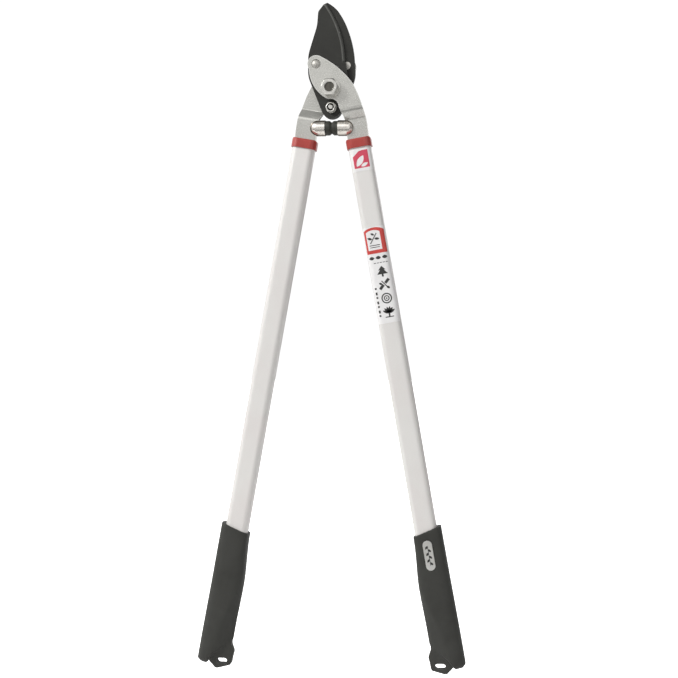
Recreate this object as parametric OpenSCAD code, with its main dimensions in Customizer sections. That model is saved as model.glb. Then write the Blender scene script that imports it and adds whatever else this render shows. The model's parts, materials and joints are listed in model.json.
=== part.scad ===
// Compound-action bypass loppers, closed, blades up.
// X runs across the handles, Z up towards the blade tips, and the front faces -Y.
// The origin is on the main pivot axis, at the outer face of the bolt's rear head.
// The two handles are the same set of pieces: the left one is the right one turned
// half way round the vertical middle line.

/* [Linkage] */
// Angle of each closed handle from the middle line
handle_angle = 10; // [8:0.5:12]
// Sideways distance from the middle line to each blade pin
pin_side = 16; // [14:0.5:17]
// Height of the blade pins above the main pivot
pin_rise = 26.5; // [24:0.5:32]
// Distance from the main pivot down to the blades' own pivot
tail_drop = 20; // [19:0.5:24]
// Full opening of the handles, measured at the main pivot
handle_travel = 60; // [40:1:60]
// Turn of each blade against its handle, per degree of handle travel
blade_ratio = 0.25; // [0.22:0.01:0.28]

/* [Blades] */
// Height of the blade tips above the main pivot
blade_reach = 95; // [85:1:120]
// Widest half width of the blade pair
blade_half_w = 25.5; // [24:0.5:30]
// Thickness of each blade
blade_t = 4.5; // [3:0.5:6]
// Gap between the two blades, and on each side of a slip washer
blade_gap = 0.3; // [0.2:0.1:0.6]
// Radius of the round tail that carries the blades' own pivot
tail_r = 11; // [10:0.25:11.25]
// Width of the ground bevel along the cutting edge
bevel_w = 3; // [2:0.5:9]
// Thickness left at the cutting edge
edge_t = 0.8; // [0.5:0.1:1.5]

/* [Plates] */
// Thickness of the stamped handle plates
plate_t = 5; // [4:0.5:6]
// Width of the plate where it meets the collar
plate_w = 23; // [21:0.5:25]
// Radius of the plate's lobe round the blade pin
lobe_r = 9.2; // [8:0.2:10]
// Radius of the notch that clears the blades' own pivot
notch_r = 8.8; // [8.5:0.1:9.5]
// Where the plate starts to step back to the middle, along the handle
joggle_start = 21.1; // [20.6:0.5:23.6]
// Length of that step
joggle_len = 9; // [8:0.5:11]
// Width of the tang inside the tube
tang_w = 16; // [12:0.5:18]
// Length of the tang below the collar's top
tang_l = 46; // [30:1:80]

/* [Handles] */
// Distance along the handle from the pivot line to the collar's top
collar_at = 54; // [54:0.5:70]
// Height of the collar
collar_h = 10; // [6:0.5:16]
// How far the collar stands out round the tube
collar_lip = 1.5; // [1:0.25:2.5]
// Length of the collar's liner inside the tube
liner_l = 40; // [20:1:70]
// Length of each tube
tube_l = 501; // [380:1:640]
// Width of the tube
tube_w = 24.5; // [22:0.5:26]
// Depth of the tube, front to back
tube_d = 16.5; // [15:0.5:20]
// Corner radius of the tube
tube_r = 6; // [4:0.5:7]
// Wall of the tube
tube_wall = 1.5; // [1:0.1:2.5]

/* [Grips] */
// Length of each grip, from its upper rim to its rounded end
grip_l = 150; // [130:1:170]
// How far the tube reaches into the grip
grip_overlap = 84; // [50:1:100]
// Width of the grip at its rim
grip_w = 31.6; // [28.6:0.2:33]
// How much further the grip's inner side stands out below the rim
grip_swell = 2.6; // [0:0.2:4]
// Depth of the grip, front to back
grip_d = 24; // [23:0.5:28]
// Slant of the grip's upper rim
rim_slant = 14; // [0:1:18]
// Length of the hanging slot
slot_l = 12; // [9:0.5:14]
// Width of the hanging slot
slot_w = 6.4; // [4.6:0.2:7]
// Middle of the badge, below the middle of the grip's rim
badge_drop = 25; // [22:1:60]

/* [Fasteners] */
// Diameter of the main pivot bolt
pivot_d = 10; // [8:1:10]
// Width across the flats of the main nut and bolt head
pivot_flats = 17; // [15:0.5:18]
// Outer diameter of the sleeve between the plates
sleeve_d = 12.6; // [12:0.2:13]
// Diameter of the blades' own pivot bolt
tail_bolt_d = 6; // [5:0.5:6]
// Width across the flats of its nut
tail_flats = 10; // [8:0.5:10]
// Diameter of the blade pins
pin_d = 6; // [5:0.5:7]
// Diameter of the pins' domed heads
pin_head_d = 10; // [9:0.5:11]
// Radial clearance of a running pin in its hole
running = 0.05; // [0.02:0.01:0.1]

/* [Bumpers] */
// Distance from the main pivot down to the bumpers' middle
bumper_drop = 41; // [41:0.5:44]
// Diameter of the metal bumper cups
cup_d = 17; // [14:0.5:17]
// Diameter of the rubber buffers
buffer_d = 15.5; // [13:0.5:16]
// Length of rubber that shows beside the middle line
buffer_l = 7; // [4:0.2:8]

/* [Hidden] */
$fn = 48;
eps = 0.01;

// Places of the three pivots in the X-Z plane, blade A on the left, blade B on the right
main_pivot = [0, 0];
left_pin = [-pin_side, pin_rise];
tail_pivot = [0, -tail_drop];

// Layers, measured to the front from the middle plane between the blades
blade_in = blade_gap / 2;
blade_out = blade_in + blade_t;
plate_in = blade_out + 0.5;
plate_out = plate_in + plate_t;
slip_t = 0.4;
washer_t = 1.5;
face_gap = 0.05;
head_t = 6.4;
nut_t = 8;
rear_reach = plate_out + face_gap + washer_t + head_t;

// Colours
c_plate = [0.76, 0.76, 0.74];
c_blade = [0.20, 0.20, 0.18];
c_zinc = [0.82, 0.81, 0.78];
c_dark = [0.30, 0.30, 0.27];
c_nylon = [0.90, 0.90, 0.86];
c_chrome = [0.86, 0.84, 0.80];
c_rubber = [0.14, 0.14, 0.12];
c_tube = [0.88, 0.86, 0.84];
c_red = [0.72, 0.22, 0.18];
c_grip = [0.25, 0.25, 0.24];
c_white = [0.95, 0.94, 0.93];

// ---------- outline helpers ----------
function polar(c, r, a) = c + r * [cos(a), sin(a)];
function heading(v) = atan2(v[1], v[0]);
function arc(c, r, a, b, n = 16) = [for (i = [0:n]) polar(c, r, a + (b - a) * i / n)];

// Circle through p and q whose arc stands rise to the left of the way from p to q
function bow_r(p, q, rise) = (norm(q - p) * norm(q - p) / 4 + rise * rise) / (2 * abs(rise));
function bow_c(p, q, rise) =
    let (v = (q - p) / norm(q - p), left = [-v[1], v[0]] * sign(rise))
    (p + q) / 2 + left * (abs(rise) - bow_r(p, q, rise));
function bow(p, q, rise, n = 14) =
    let (c = bow_c(p, q, rise), r = bow_r(p, q, rise), a = heading(p - c), b = heading(q - c))
    arc(c, r, a, a + wrap(b - a), n);
function wrap(a) = a > 180 ? a - 360 : a < -180 ? a + 360 : a;

// Point where a line from p touches the circle round c, on the side given by 1 or -1
function touch(p, c, r, side) = polar(c, r, heading(p - c) + side * acos(r / norm(p - c)));

// Corners [x, y, radius] as an outline with round corners
function rounded(corners, n = 8) =
    let (k = len(corners))
    [for (i = [0:k - 1]) each round_one(corners[(i + k - 1) % k], corners[i], corners[(i + 1) % k], n)];
function after(points) = [for (i = [1:len(points) - 1]) points[i]];
function flat2(p) = [p[0], p[1]];
function round_one(before, at, after, n) =
    at[2] == 0 ? [flat2(at)] :
    let (
        p = flat2(at),
        u = (flat2(before) - p) / norm(flat2(before) - p),
        v = (flat2(after) - p) / norm(flat2(after) - p),
        half = acos(max(-1, min(1, u * v))) / 2,
        c = p + (u + v) / norm(u + v) * at[2] / sin(half),
        start = heading(p + u * at[2] / tan(half) - c),
        turn = wrap(heading(p + v * at[2] / tan(half) - c) - start)
    )
    [for (i = [0:n]) polar(c, at[2], start + turn * i / n)];
function sharp(points) = [for (p = points) [p[0], p[1], 0]];

// A point of the right handle: across is outwards, along is down the handle
function on_handle(across, along) = [
    handle_x + along * sin(handle_angle) + across * cos(handle_angle),
    -along * cos(handle_angle) + across * sin(handle_angle)
];
handle_x = 19.4;

// ---------- placing helpers ----------
// Everything is drawn round the middle plane, then set behind the origin's face
module in_place() { translate([0, -rear_reach, 0]) children(); }
module turned() { rotate([0, 0, 180]) children(); }
// A flat outline of the X-Z plane made thick, from height h towards the front
module slab(h, t) { rotate([90, 0, 0]) translate([0, 0, h]) linear_extrude(t) children(); }
// Something round a front-to-back axis at p, drawn along +Z, from height h
module on_axis(p, h) { translate([p[0], -h, p[1]]) rotate([90, 0, 0]) children(); }
// The right handle's own frame: Z runs back up the handle
module along_handle() { translate([handle_x, 0, 0]) rotate([0, -handle_angle, 0]) children(); }
// A length of an X-Y section between two distances down the handle
module run(from, to) { translate([0, 0, -to]) linear_extrude(to - from) children(); }
module section(w, d, r) {
    for (x = [-1, 1], y = [-1, 1]) translate([x * (w / 2 - r), y * (d / 2 - r)]) circle(r);
    square([w - 2 * r, d], center = true);
    square([w, d - 2 * r], center = true);
}
module hexagon(flats, t) { cylinder(d = flats / cos(30), h = t, $fn = 6); }
// Hexagon with the corners of its outer face turned off
module turned_hexagon(flats, t) {
    intersection() {
        hexagon(flats, t);
        cylinder(r1 = flats / cos(30) / 2 + t - 1, r2 = flats / 2 - 0.6, h = t);
    }
}
module ring(outer, inner, t) {
    difference() {
        cylinder(d = outer, h = t);
        translate([0, 0, -1]) cylinder(d = inner, h = t + 2);
    }
}

// ---------- handle plates ----------
plate_top = left_pin + lobe_r * [cos(58), sin(58)];
plate_side = [24.2, 4.4];
collar_out = on_handle(plate_w / 2, collar_at);
collar_in = on_handle(-plate_w / 2, collar_at);
lobe_end = left_pin + lobe_r * [cos(216), sin(216)];
notch_start = polar(tail_pivot, notch_r, 95);
notch_end = polar(tail_pivot, notch_r, 2);

module plate_outline() {
    polygon(rounded(concat(
        sharp(bow(collar_out, plate_side, -3.2)),
        sharp(bow(plate_side, plate_top, -2.9)),
        sharp(arc(left_pin, lobe_r, 62, 212)),
        sharp(bow(lobe_end, notch_start + [-3, 0.3], -5.2)),
        sharp(arc(tail_pivot, notch_r, 95, 2)),
        [[notch_end[0] + 2.7, notch_end[1] - 6, 5], [notch_end[0] + 6.2, notch_end[1] - 14, 12]],
        // down round the tang
        sharp([
            collar_in, on_handle(-tang_w / 2, collar_at), on_handle(-tang_w / 2, collar_at + tang_l),
            on_handle(tang_w / 2, collar_at + tang_l), on_handle(tang_w / 2, collar_at)
        ])
    )));
}

// Side view of the plate: flat, a step back to the middle plane, flat again
module plate_side_view() {
    step = plate_in + plate_t / 2;
    mitre = plate_t * tan(atan(step / joggle_len) / 2);
    bend = 3;
    far = collar_at + tang_l + 20;
    polygon(rounded([
        [-100, plate_in, 0], [joggle_start, plate_in, bend],
        [joggle_start + joggle_len, -plate_t / 2, bend + plate_t], [far, -plate_t / 2, 0],
        [far, plate_t / 2, 0], [joggle_start + joggle_len + mitre, plate_t / 2, bend],
        [joggle_start + mitre, plate_out, bend + plate_t], [-100, plate_out, 0]
    ], 5));
}

module plate() {
    difference() {
        intersection() {
            slab(-plate_t, plate_out + 2 * plate_t) plate_outline();
            along_handle() rotate([0, 90, 180]) translate([0, 0, -90]) linear_extrude(180) plate_side_view();
        }
        on_axis(main_pivot, plate_in - 1) cylinder(d = pivot_d + 2 * running, h = plate_t + 2);
        on_axis(left_pin, plate_in - 1) cylinder(d = pin_d, h = plate_t + 2);
    }
}
module front_plate() { color(c_plate) in_place() plate(); }
module rear_plate() { color(c_plate) in_place() turned() plate(); }

// ---------- blades ----------
function reach(u, v) = [u * blade_half_w, pin_rise + v * (blade_reach - pin_rise)];
blade_tip = reach(-0.27, 0.985);
blade_heel = reach(0.565, 0.09);
edge_rise = 4.9;
hook_tip = reach(-0.22, 1);
hook_shoulder = reach(0.22, 0.873);
hook_belly = reach(0.66, 0.57);
hook_side = reach(0.955, 0.05);
hook_in_top = reach(-0.3, 0.93);
hook_in_low = reach(-0.31, 0);
hook_rise = 11;

// The outer knee, the round tail and the inner knee that both blades share,
// listed for the blade on the left, from its heel round to its spine
inner_knee = [18.6, 4.5];
outer_knee = [-blade_half_w, 14];
tail_from = heading(touch(inner_knee, tail_pivot, tail_r, -1) - tail_pivot);
tail_to = heading(touch(outer_knee, tail_pivot, tail_r, 1) - tail_pivot);
tail_sweep = (tail_from - tail_to + 720) % 360;
function tail_points() = concat(
    [[inner_knee[0] - 1.6, 18, 10], [inner_knee[0], inner_knee[1], 6]],
    sharp(arc(tail_pivot, tail_r, tail_from, tail_from - tail_sweep, 20)),
    [[outer_knee[0], outer_knee[1], 30]]
);

// Path of the main pivot's sleeve across each blade as the handles open
function turn(v, a) = [v[0] * cos(a) - v[1] * sin(a), v[0] * sin(a) + v[1] * cos(a)];
function sleeve_at(travel) = left_pin + turn(-turn(left_pin, travel / 2), -travel * (0.5 - blade_ratio));
slot_end = sleeve_at(handle_travel);
slot_r = sleeve_d / 2 + 0.6;

module slot_2d(p, q, r) {
    way = (q - p) / norm(q - p) * r;
    side = [-way[1], way[0]];
    translate(p) circle(r);
    translate(q) circle(r);
    polygon([p + side, p - side, q - side, q + side]);
}

module blade_holes(h) {
    slab(h - 1, blade_t + 2) slot_2d(main_pivot, slot_end, slot_r);
    on_axis(left_pin, h - 1) cylinder(d = pin_d + 2 * running, h = blade_t + 2);
}

module cutting_blade_outline() {
    polygon(rounded(concat(
        sharp(bow(blade_tip, blade_heel, edge_rise, 24)),
        tail_points(),
        [
            concat(reach(-1, 0.16), 40), concat(reach(-0.62, 0.62), 40),
            concat(reach(-0.575, 0.84), 6)
        ]
    )));
}

// Ring-shaped wedge that grinds the bevel along the cutting edge
module bevel_cut() {
    c = bow_c(blade_tip, blade_heel, edge_rise);
    r = bow_r(blade_tip, blade_heel, edge_rise);
    on_axis(c, blade_in) rotate_extrude($fn = 96) polygon([
        [r - bevel_w, blade_t], [r, edge_t], [r + 30, edge_t],
        [r + 30, blade_t + 1], [r - bevel_w, blade_t + 1]
    ]);
}

// The pin's sunk head lies flush in the blade's mating face
sunk_d = 8.6;
sunk_t = 1.6;
module sunk_hole(h) {
    on_axis(left_pin, h) cylinder(d1 = sunk_d + 2 * running, d2 = pin_d + 2 * running, h = sunk_t + running);
}

// Play of the tail bolt in the cutting blade: along its slot, and across it
tail_slack = 1.05;
tail_gap = 0.35;
module cutting_blade() {
    color(c_blade) in_place() difference() {
        slab(blade_in, blade_t) cutting_blade_outline();
        intersection() {
            bevel_cut();
            slab(blade_in - 1, blade_t + 2) polygon([
                blade_heel + [-40, -4], blade_heel + [40, -4], [60, blade_reach + 20], [-60, blade_reach + 20]
            ]);
        }
        blade_holes(blade_in);
        sunk_hole(blade_in);
        slab(blade_in - 1, blade_t + 2) slot_2d(
            tail_pivot - [tail_slack, 0], tail_pivot + [tail_slack, 0], tail_bolt_d / 2 + tail_gap);
    }
}

module hook_blade_outline() {
    polygon(rounded(concat(
        sharp([hook_tip + [-1.1, -0.5]]),
        sharp(bow(hook_tip, hook_shoulder, 0.6, 8)),
        sharp(after(bow(hook_shoulder, hook_belly, 0.9, 10))),
        sharp(after(bow(hook_belly, hook_side, 1.5, 10))),
        mirrored_tail(),
        sharp(bow(hook_in_low, hook_in_top, -hook_rise, 20))
    )));
}
function mirrored_tail() =
    let (t = tail_points(), k = len(t)) [for (i = [k - 1:-1:0]) [-t[i][0], t[i][1], t[i][2]]];

module hook_blade() {
    color(c_blade) in_place() difference() {
        slab(-blade_out, blade_t) hook_blade_outline();
        turned() blade_holes(blade_in);
        turned() sunk_hole(blade_in);
        on_axis(tail_pivot, -blade_out - 1) cylinder(d = tail_bolt_d + 2 * running, h = blade_t + 2);
    }
}

// ---------- main pivot ----------
pivot_bolt_end = plate_out + face_gap + washer_t + nut_t - 1.6;
module pivot_bolt() {
    color(c_dark) in_place() {
        on_axis(main_pivot, -rear_reach + head_t) mirror([0, 0, 1]) turned_hexagon(pivot_flats, head_t);
        on_axis(main_pivot, -rear_reach + head_t) cylinder(d = pivot_d, h = rear_reach - head_t + pivot_bolt_end);
    }
}
module pivot_nut() {
    color(c_zinc) in_place() on_axis(main_pivot, plate_out + face_gap + washer_t) difference() {
        turned_hexagon(pivot_flats, nut_t);
        translate([0, 0, -1]) cylinder(d = pivot_d, h = nut_t + 2);
        translate([0, 0, nut_t - 0.8]) cylinder(d1 = pivot_d, d2 = pivot_d + 1.6, h = 0.8 + eps);
    }
}
pivot_washer_d = 21;
module pivot_front_washer() {
    color(c_zinc) in_place() on_axis(main_pivot, plate_out + face_gap)
        ring(pivot_washer_d, pivot_d + 2 * running, washer_t);
}
module pivot_rear_washer() {
    color(c_zinc) in_place() on_axis(main_pivot, -rear_reach + head_t)
        ring(pivot_washer_d, pivot_d + 2 * running, washer_t);
}
module spacer_sleeve() {
    color(c_zinc) in_place() on_axis(main_pivot, -plate_in)
        ring(sleeve_d, pivot_d + 2 * running, 2 * plate_in - face_gap);
}

// ---------- the blades' own pivot ----------
tail_washer_t = 1.2;
tail_nut_t = 5;
tail_washer_h = blade_out + 0.15;
bolt_turned = 0.9;
tail_bolt_l = blade_out + tail_washer_h + tail_washer_t + tail_nut_t - 0.3 - bolt_turned;
module blade_bolt() {
    color(c_zinc) in_place() {
        on_axis(tail_pivot, -blade_out) mirror([0, 0, 1]) turned_hexagon(tail_flats, 4);
        on_axis(tail_pivot, -blade_out) cylinder(d = tail_bolt_d, h = tail_bolt_l);
        on_axis(tail_pivot, -blade_out + tail_bolt_l)
            cylinder(d1 = tail_bolt_d, d2 = tail_bolt_d - 2 * bolt_turned, h = bolt_turned);
    }
}
module blade_washer() {
    color(c_zinc) in_place() on_axis(tail_pivot, tail_washer_h)
        ring(tail_flats + 1.4, tail_bolt_d + 2 * running, tail_washer_t);
}
module blade_nut() {
    color(c_zinc) in_place() on_axis(tail_pivot, tail_washer_h + tail_washer_t) difference() {
        turned_hexagon(tail_flats, tail_nut_t);
        translate([0, 0, -1]) cylinder(d = tail_bolt_d, h = tail_nut_t + 2);
        translate([0, 0, tail_nut_t - 1.2]) cylinder(d1 = tail_bolt_d, d2 = tail_bolt_d + 2.2, h = 1.2 + eps);
    }
}

// ---------- blade pins and slip washers ----------
dome_t = 2.4;
module dome(d, t) {
    r = (d * d / 4 + t * t) / (2 * t);
    intersection() {
        translate([0, 0, t - r]) sphere(r, $fn = 64);
        cylinder(d = 2 * d, h = t + 1);
    }
}
module blade_pin() {
    on_axis(left_pin, blade_in) {
        cylinder(d1 = sunk_d, d2 = pin_d, h = sunk_t);
        cylinder(d = pin_d, h = plate_out - blade_in + eps);
        translate([0, 0, plate_out - blade_in]) dome(pin_head_d, dome_t);
    }
}
module slip_washer() {
    on_axis(left_pin, blade_out + face_gap) ring(15, pin_d + 2 * running, slip_t);
}
module cutting_blade_pin() { color(c_zinc) in_place() blade_pin(); }
module hook_blade_pin() { color(c_zinc) in_place() turned() blade_pin(); }
module front_slip_washer() { color(c_nylon) in_place() slip_washer(); }
module rear_slip_washer() { color(c_nylon) in_place() turned() slip_washer(); }

// ---------- bumpers ----------
cup_l = 17;
stem_d = buffer_d - 3;
stem_l = 6;
module across_at(h) { translate([h, 0, -bumper_drop]) rotate([0, 90, 0]) children(); }
module bumper_cup() {
    difference() {
        across_at(buffer_l) union() {
            cylinder(d = cup_d, h = cup_l - cup_d / 2);
            translate([0, 0, cup_l - cup_d / 2]) sphere(d = cup_d, $fn = 64);
        }
        across_at(buffer_l - cup_d) cylinder(d = cup_d + 2, h = cup_d);
        across_at(buffer_l - 1) cylinder(d = stem_d, h = stem_l + 1);
        slab(-plate_t / 2, plate_t) plate_outline();
    }
}
module buffer() {
    face = 0.15;
    taper = 2.2;
    across_at(face) {
        cylinder(d1 = buffer_d - 3.4, d2 = buffer_d, h = taper);
        translate([0, 0, taper]) cylinder(d = buffer_d, h = buffer_l - face - taper);
        cylinder(d = stem_d, h = buffer_l - face + stem_l);
    }
}
module right_bumper_cup() { color(c_chrome) in_place() bumper_cup(); }
module left_bumper_cup() { color(c_chrome) in_place() turned() bumper_cup(); }
module right_buffer() { color(c_rubber) in_place() buffer(); }
module left_buffer() { color(c_rubber) in_place() turned() buffer(); }

// ---------- collars and tubes ----------
tube_at = collar_at + collar_h;
tube_end = tube_at + tube_l;
module tube_section(grow = 0) { section(tube_w + 2 * grow, tube_d + 2 * grow, tube_r + grow); }
module collar() {
    difference() {
        along_handle() {
            intersection() {
                run(collar_at, tube_at) tube_section(collar_lip);
                // front view with rounded upper corners
                rotate([90, 0, 0]) translate([0, 0, -30]) linear_extrude(60) polygon(rounded([
                    [-tube_w / 2 - collar_lip, -tube_at - 1, 0], [tube_w / 2 + collar_lip, -tube_at - 1, 0],
                    [tube_w / 2 + collar_lip, -collar_at, 2.5], [-tube_w / 2 - collar_lip, -collar_at, 2.5]
                ]));
                rotate([90, 0, 90]) translate([0, 0, -30]) linear_extrude(60) polygon(rounded([
                    [-tube_d / 2 - collar_lip, -tube_at - 1, 0], [tube_d / 2 + collar_lip, -tube_at - 1, 0],
                    [tube_d / 2 + collar_lip, -collar_at, 2], [-tube_d / 2 - collar_lip, -collar_at, 2]
                ]));
            }
            run(tube_at, tube_at + liner_l) tube_section(-tube_wall);
        }
        along_handle() run(collar_at - 1, collar_at + tang_l) square([tang_w, plate_t], center = true);
    }
}
module tube() {
    along_handle() difference() {
        run(tube_at, tube_end) tube_section();
        run(tube_at - 1, tube_end + 1) tube_section(-tube_wall);
    }
}
module right_collar() { color(c_red) in_place() collar(); }
module left_collar() { color(c_red) in_place() turned() collar(); }
module right_tube() { color(c_tube) in_place() tube(); }
module left_tube() { color(c_tube) in_place() turned() tube(); }

// ---------- grips ----------
grip_at = tube_end - grip_overlap;
grip_end = grip_at + grip_l;
// The grip sits a little outwards on its tube
grip_offset = 1.2;
grip_out = grip_w / 2 + grip_offset;
grip_in = grip_w / 2 - grip_offset;
out_end = grip_out + 0.45 * grip_swell;
in_end = grip_in + grip_swell;
// Front view: a slanted rim, sides that swell a little, a rounded outer end, and an inner end
// that runs off on a slope over the hanging loop
module grip_outline() {
    slant = tan(rim_slant);
    polygon(rounded([
        [-grip_in, -grip_at - grip_in * slant, 1.5], [grip_out, -grip_at + grip_out * slant, 1.5],
        [grip_out + 0.2 * grip_swell, -grip_at - 0.35 * grip_l, 300], [out_end, -grip_end, 5],
        [5, -grip_end, 3], [2, -grip_end + 8.5, 8], [-in_end, -grip_end + 26.5, 8],
        [-in_end, -grip_at - 0.45 * grip_l, 200]
    ]));
}
module grip_body() {
    intersection() {
        translate([(out_end - in_end) / 2, 0]) run(grip_at - grip_w, grip_end)
            section(out_end + in_end, grip_d, grip_d / 2 - 2.5);
        rotate([90, 0, 0]) translate([0, 0, -grip_d]) linear_extrude(2 * grip_d) grip_outline();
        // side view with a rounded end
        rotate([90, 0, 90]) translate([0, 0, -grip_w]) linear_extrude(2 * grip_w) polygon(rounded([
            [-grip_d / 2, -grip_at + grip_w, 0], [grip_d / 2, -grip_at + grip_w, 0],
            [grip_d / 2, -grip_end, 5], [-grip_d / 2, -grip_end, 5]
        ]));
    }
}
// The hanging loop: a flat tab that steps out of the grip's inner side and hangs below its end.
// Its slot lies level when the handles are closed.
loop_t = 9;
loop_in = 0.7 - in_end;
slot_mid = [loop_in + 7.2, grip_end - 4.8];
module loop_tab() {
    rotate([90, 0, 0]) translate([0, 0, -loop_t / 2]) linear_extrude(loop_t) polygon(rounded([
        for (p = [
            [0.5, -27, 0], [-4, -18, 3], [-3.4, -10, 3], [-3, -3, 4], [12, 5, 3.5], [20, -2.5, 3],
            [26, -8, 0], [20, -27, 0]
        ]) [loop_in + p[0], -grip_end - p[1], p[2]]
    ]));
}
module slot_cut() {
    reach_x = (slot_l - slot_w) / 2 * [cos(handle_angle), -sin(handle_angle)];
    mid = [slot_mid[0], -slot_mid[1]];
    rotate([90, 0, 0]) translate([0, 0, -30]) linear_extrude(60)
        slot_2d(mid - reach_x, mid + reach_x, slot_w / 2);
}
badge_l = 32;
badge_w = 10;
badge_t = 1.2;
badge_floor = grip_d / 2 - 0.9;
badge_s = grip_at + badge_drop;
module badge_shape() {
    slot_2d([0, -badge_s - badge_l / 2 + badge_w / 2], [0, -badge_s + badge_l / 2 - badge_w / 2], badge_w / 2);
}
module grip() {
    along_handle() difference() {
        union() {
            grip_body();
            loop_tab();
        }
        // socket for the tube
        run(grip_at - 30, tube_end) tube_section();
        slot_cut();
    }
}
module right_grip() {
    color(c_grip) in_place() difference() {
        grip();
        along_handle() rotate([90, 0, 0]) translate([0, 0, badge_floor]) linear_extrude(20) badge_shape();
    }
}
module left_grip() { color(c_grip) in_place() turned() grip(); }
module grip_badge() {
    color(c_zinc) in_place() along_handle() rotate([90, 0, 0]) translate([0, 0, badge_floor])
        linear_extrude(badge_t) badge_shape();
}

// ---------- labels on the right tube ----------
label_t = 0.25;
module label(from, length, width) {
    along_handle() difference() {
        run(from, from + length) intersection() {
            tube_section(label_t);
            translate([-width / 2, -tube_d]) square([width, tube_d]);
        }
        run(from - 1, from + length + 1) tube_section();
    }
}
module size_label() { color(c_white) in_place() label(tube_at + 2, 24, tube_w - 3); }
module handle_label() { color(c_white) in_place() label(tube_at + 87, 104, tube_w - 1); }

front_plate();
rear_plate();
cutting_blade();
hook_blade();
pivot_bolt();
pivot_nut();
pivot_front_washer();
pivot_rear_washer();
spacer_sleeve();
blade_bolt();
blade_nut();
blade_washer();
cutting_blade_pin();
hook_blade_pin();
front_slip_washer();
rear_slip_washer();
right_bumper_cup();
left_bumper_cup();
right_buffer();
left_buffer();
right_collar();
left_collar();
right_tube();
left_tube();
right_grip();
left_grip();
size_label();
handle_label();
grip_badge();
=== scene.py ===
"""Looks of a pair of compound-action bypass loppers, built round their fixed frame.

Lengths are in metres. X runs across the handles, Z up to the blade tips, and the front faces -Y.
"""

import json
import logging
import math
from dataclasses import dataclass, field, replace
from enum import Enum
from typing import Callable, Iterable, Sequence

import bmesh
import bpy
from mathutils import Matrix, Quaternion, Vector


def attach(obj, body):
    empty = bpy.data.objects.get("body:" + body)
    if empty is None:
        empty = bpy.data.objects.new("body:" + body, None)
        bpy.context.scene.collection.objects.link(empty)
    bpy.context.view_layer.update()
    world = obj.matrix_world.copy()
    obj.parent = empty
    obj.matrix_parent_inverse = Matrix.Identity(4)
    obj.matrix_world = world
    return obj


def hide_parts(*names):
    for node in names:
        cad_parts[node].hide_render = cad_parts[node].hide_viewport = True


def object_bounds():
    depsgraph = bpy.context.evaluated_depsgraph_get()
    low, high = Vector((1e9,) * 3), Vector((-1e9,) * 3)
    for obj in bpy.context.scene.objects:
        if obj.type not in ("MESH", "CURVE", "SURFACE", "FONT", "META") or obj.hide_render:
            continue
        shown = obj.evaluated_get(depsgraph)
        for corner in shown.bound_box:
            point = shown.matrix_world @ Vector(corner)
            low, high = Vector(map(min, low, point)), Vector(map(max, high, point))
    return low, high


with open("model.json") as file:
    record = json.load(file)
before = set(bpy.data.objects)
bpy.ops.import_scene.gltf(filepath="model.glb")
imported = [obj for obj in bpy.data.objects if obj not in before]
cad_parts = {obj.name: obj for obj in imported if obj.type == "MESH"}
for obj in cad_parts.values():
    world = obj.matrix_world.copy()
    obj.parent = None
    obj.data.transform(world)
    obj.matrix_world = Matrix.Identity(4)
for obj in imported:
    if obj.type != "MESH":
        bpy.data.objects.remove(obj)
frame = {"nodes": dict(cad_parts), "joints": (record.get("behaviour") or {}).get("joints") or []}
CAD_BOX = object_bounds()
LOG = logging.getLogger("loppers")
MM = 0.001

# Points nearer than this are one point, and faces that turn less than this are one face.
WELD_GAP = 0.002 * MM
FLAT_WITHIN = math.radians(0.5)
# Edges that turn more than this get a rounding.
ROUNDED_FROM = math.radians(28.0)
# Points whose depths differ by less than this lie in one level.
LEVEL_WITHIN = 0.001 * MM

Point = tuple[float, float]
Outline = list[Point]
Print = tuple[Outline, list[Outline]]


class Body(Enum):
    """The four rigid bodies that the linkage moves."""

    LEFT = "left_handle"
    RIGHT = "right_handle"
    CUTTING = "cutting_blade"
    HOOK = "hook_blade"


class Side(Enum):
    """Which handle a piece belongs to."""

    LEFT = "left"
    RIGHT = "right"

    @property
    def body(self) -> Body:
        """The body that pieces of this side ride on."""
        return Body.LEFT if self is Side.LEFT else Body.RIGHT

    @property
    def sign(self) -> float:
        """The way along X to this side."""
        return -1.0 if self is Side.LEFT else 1.0


# ---------------------------------------------------------------- shader helpers


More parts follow.
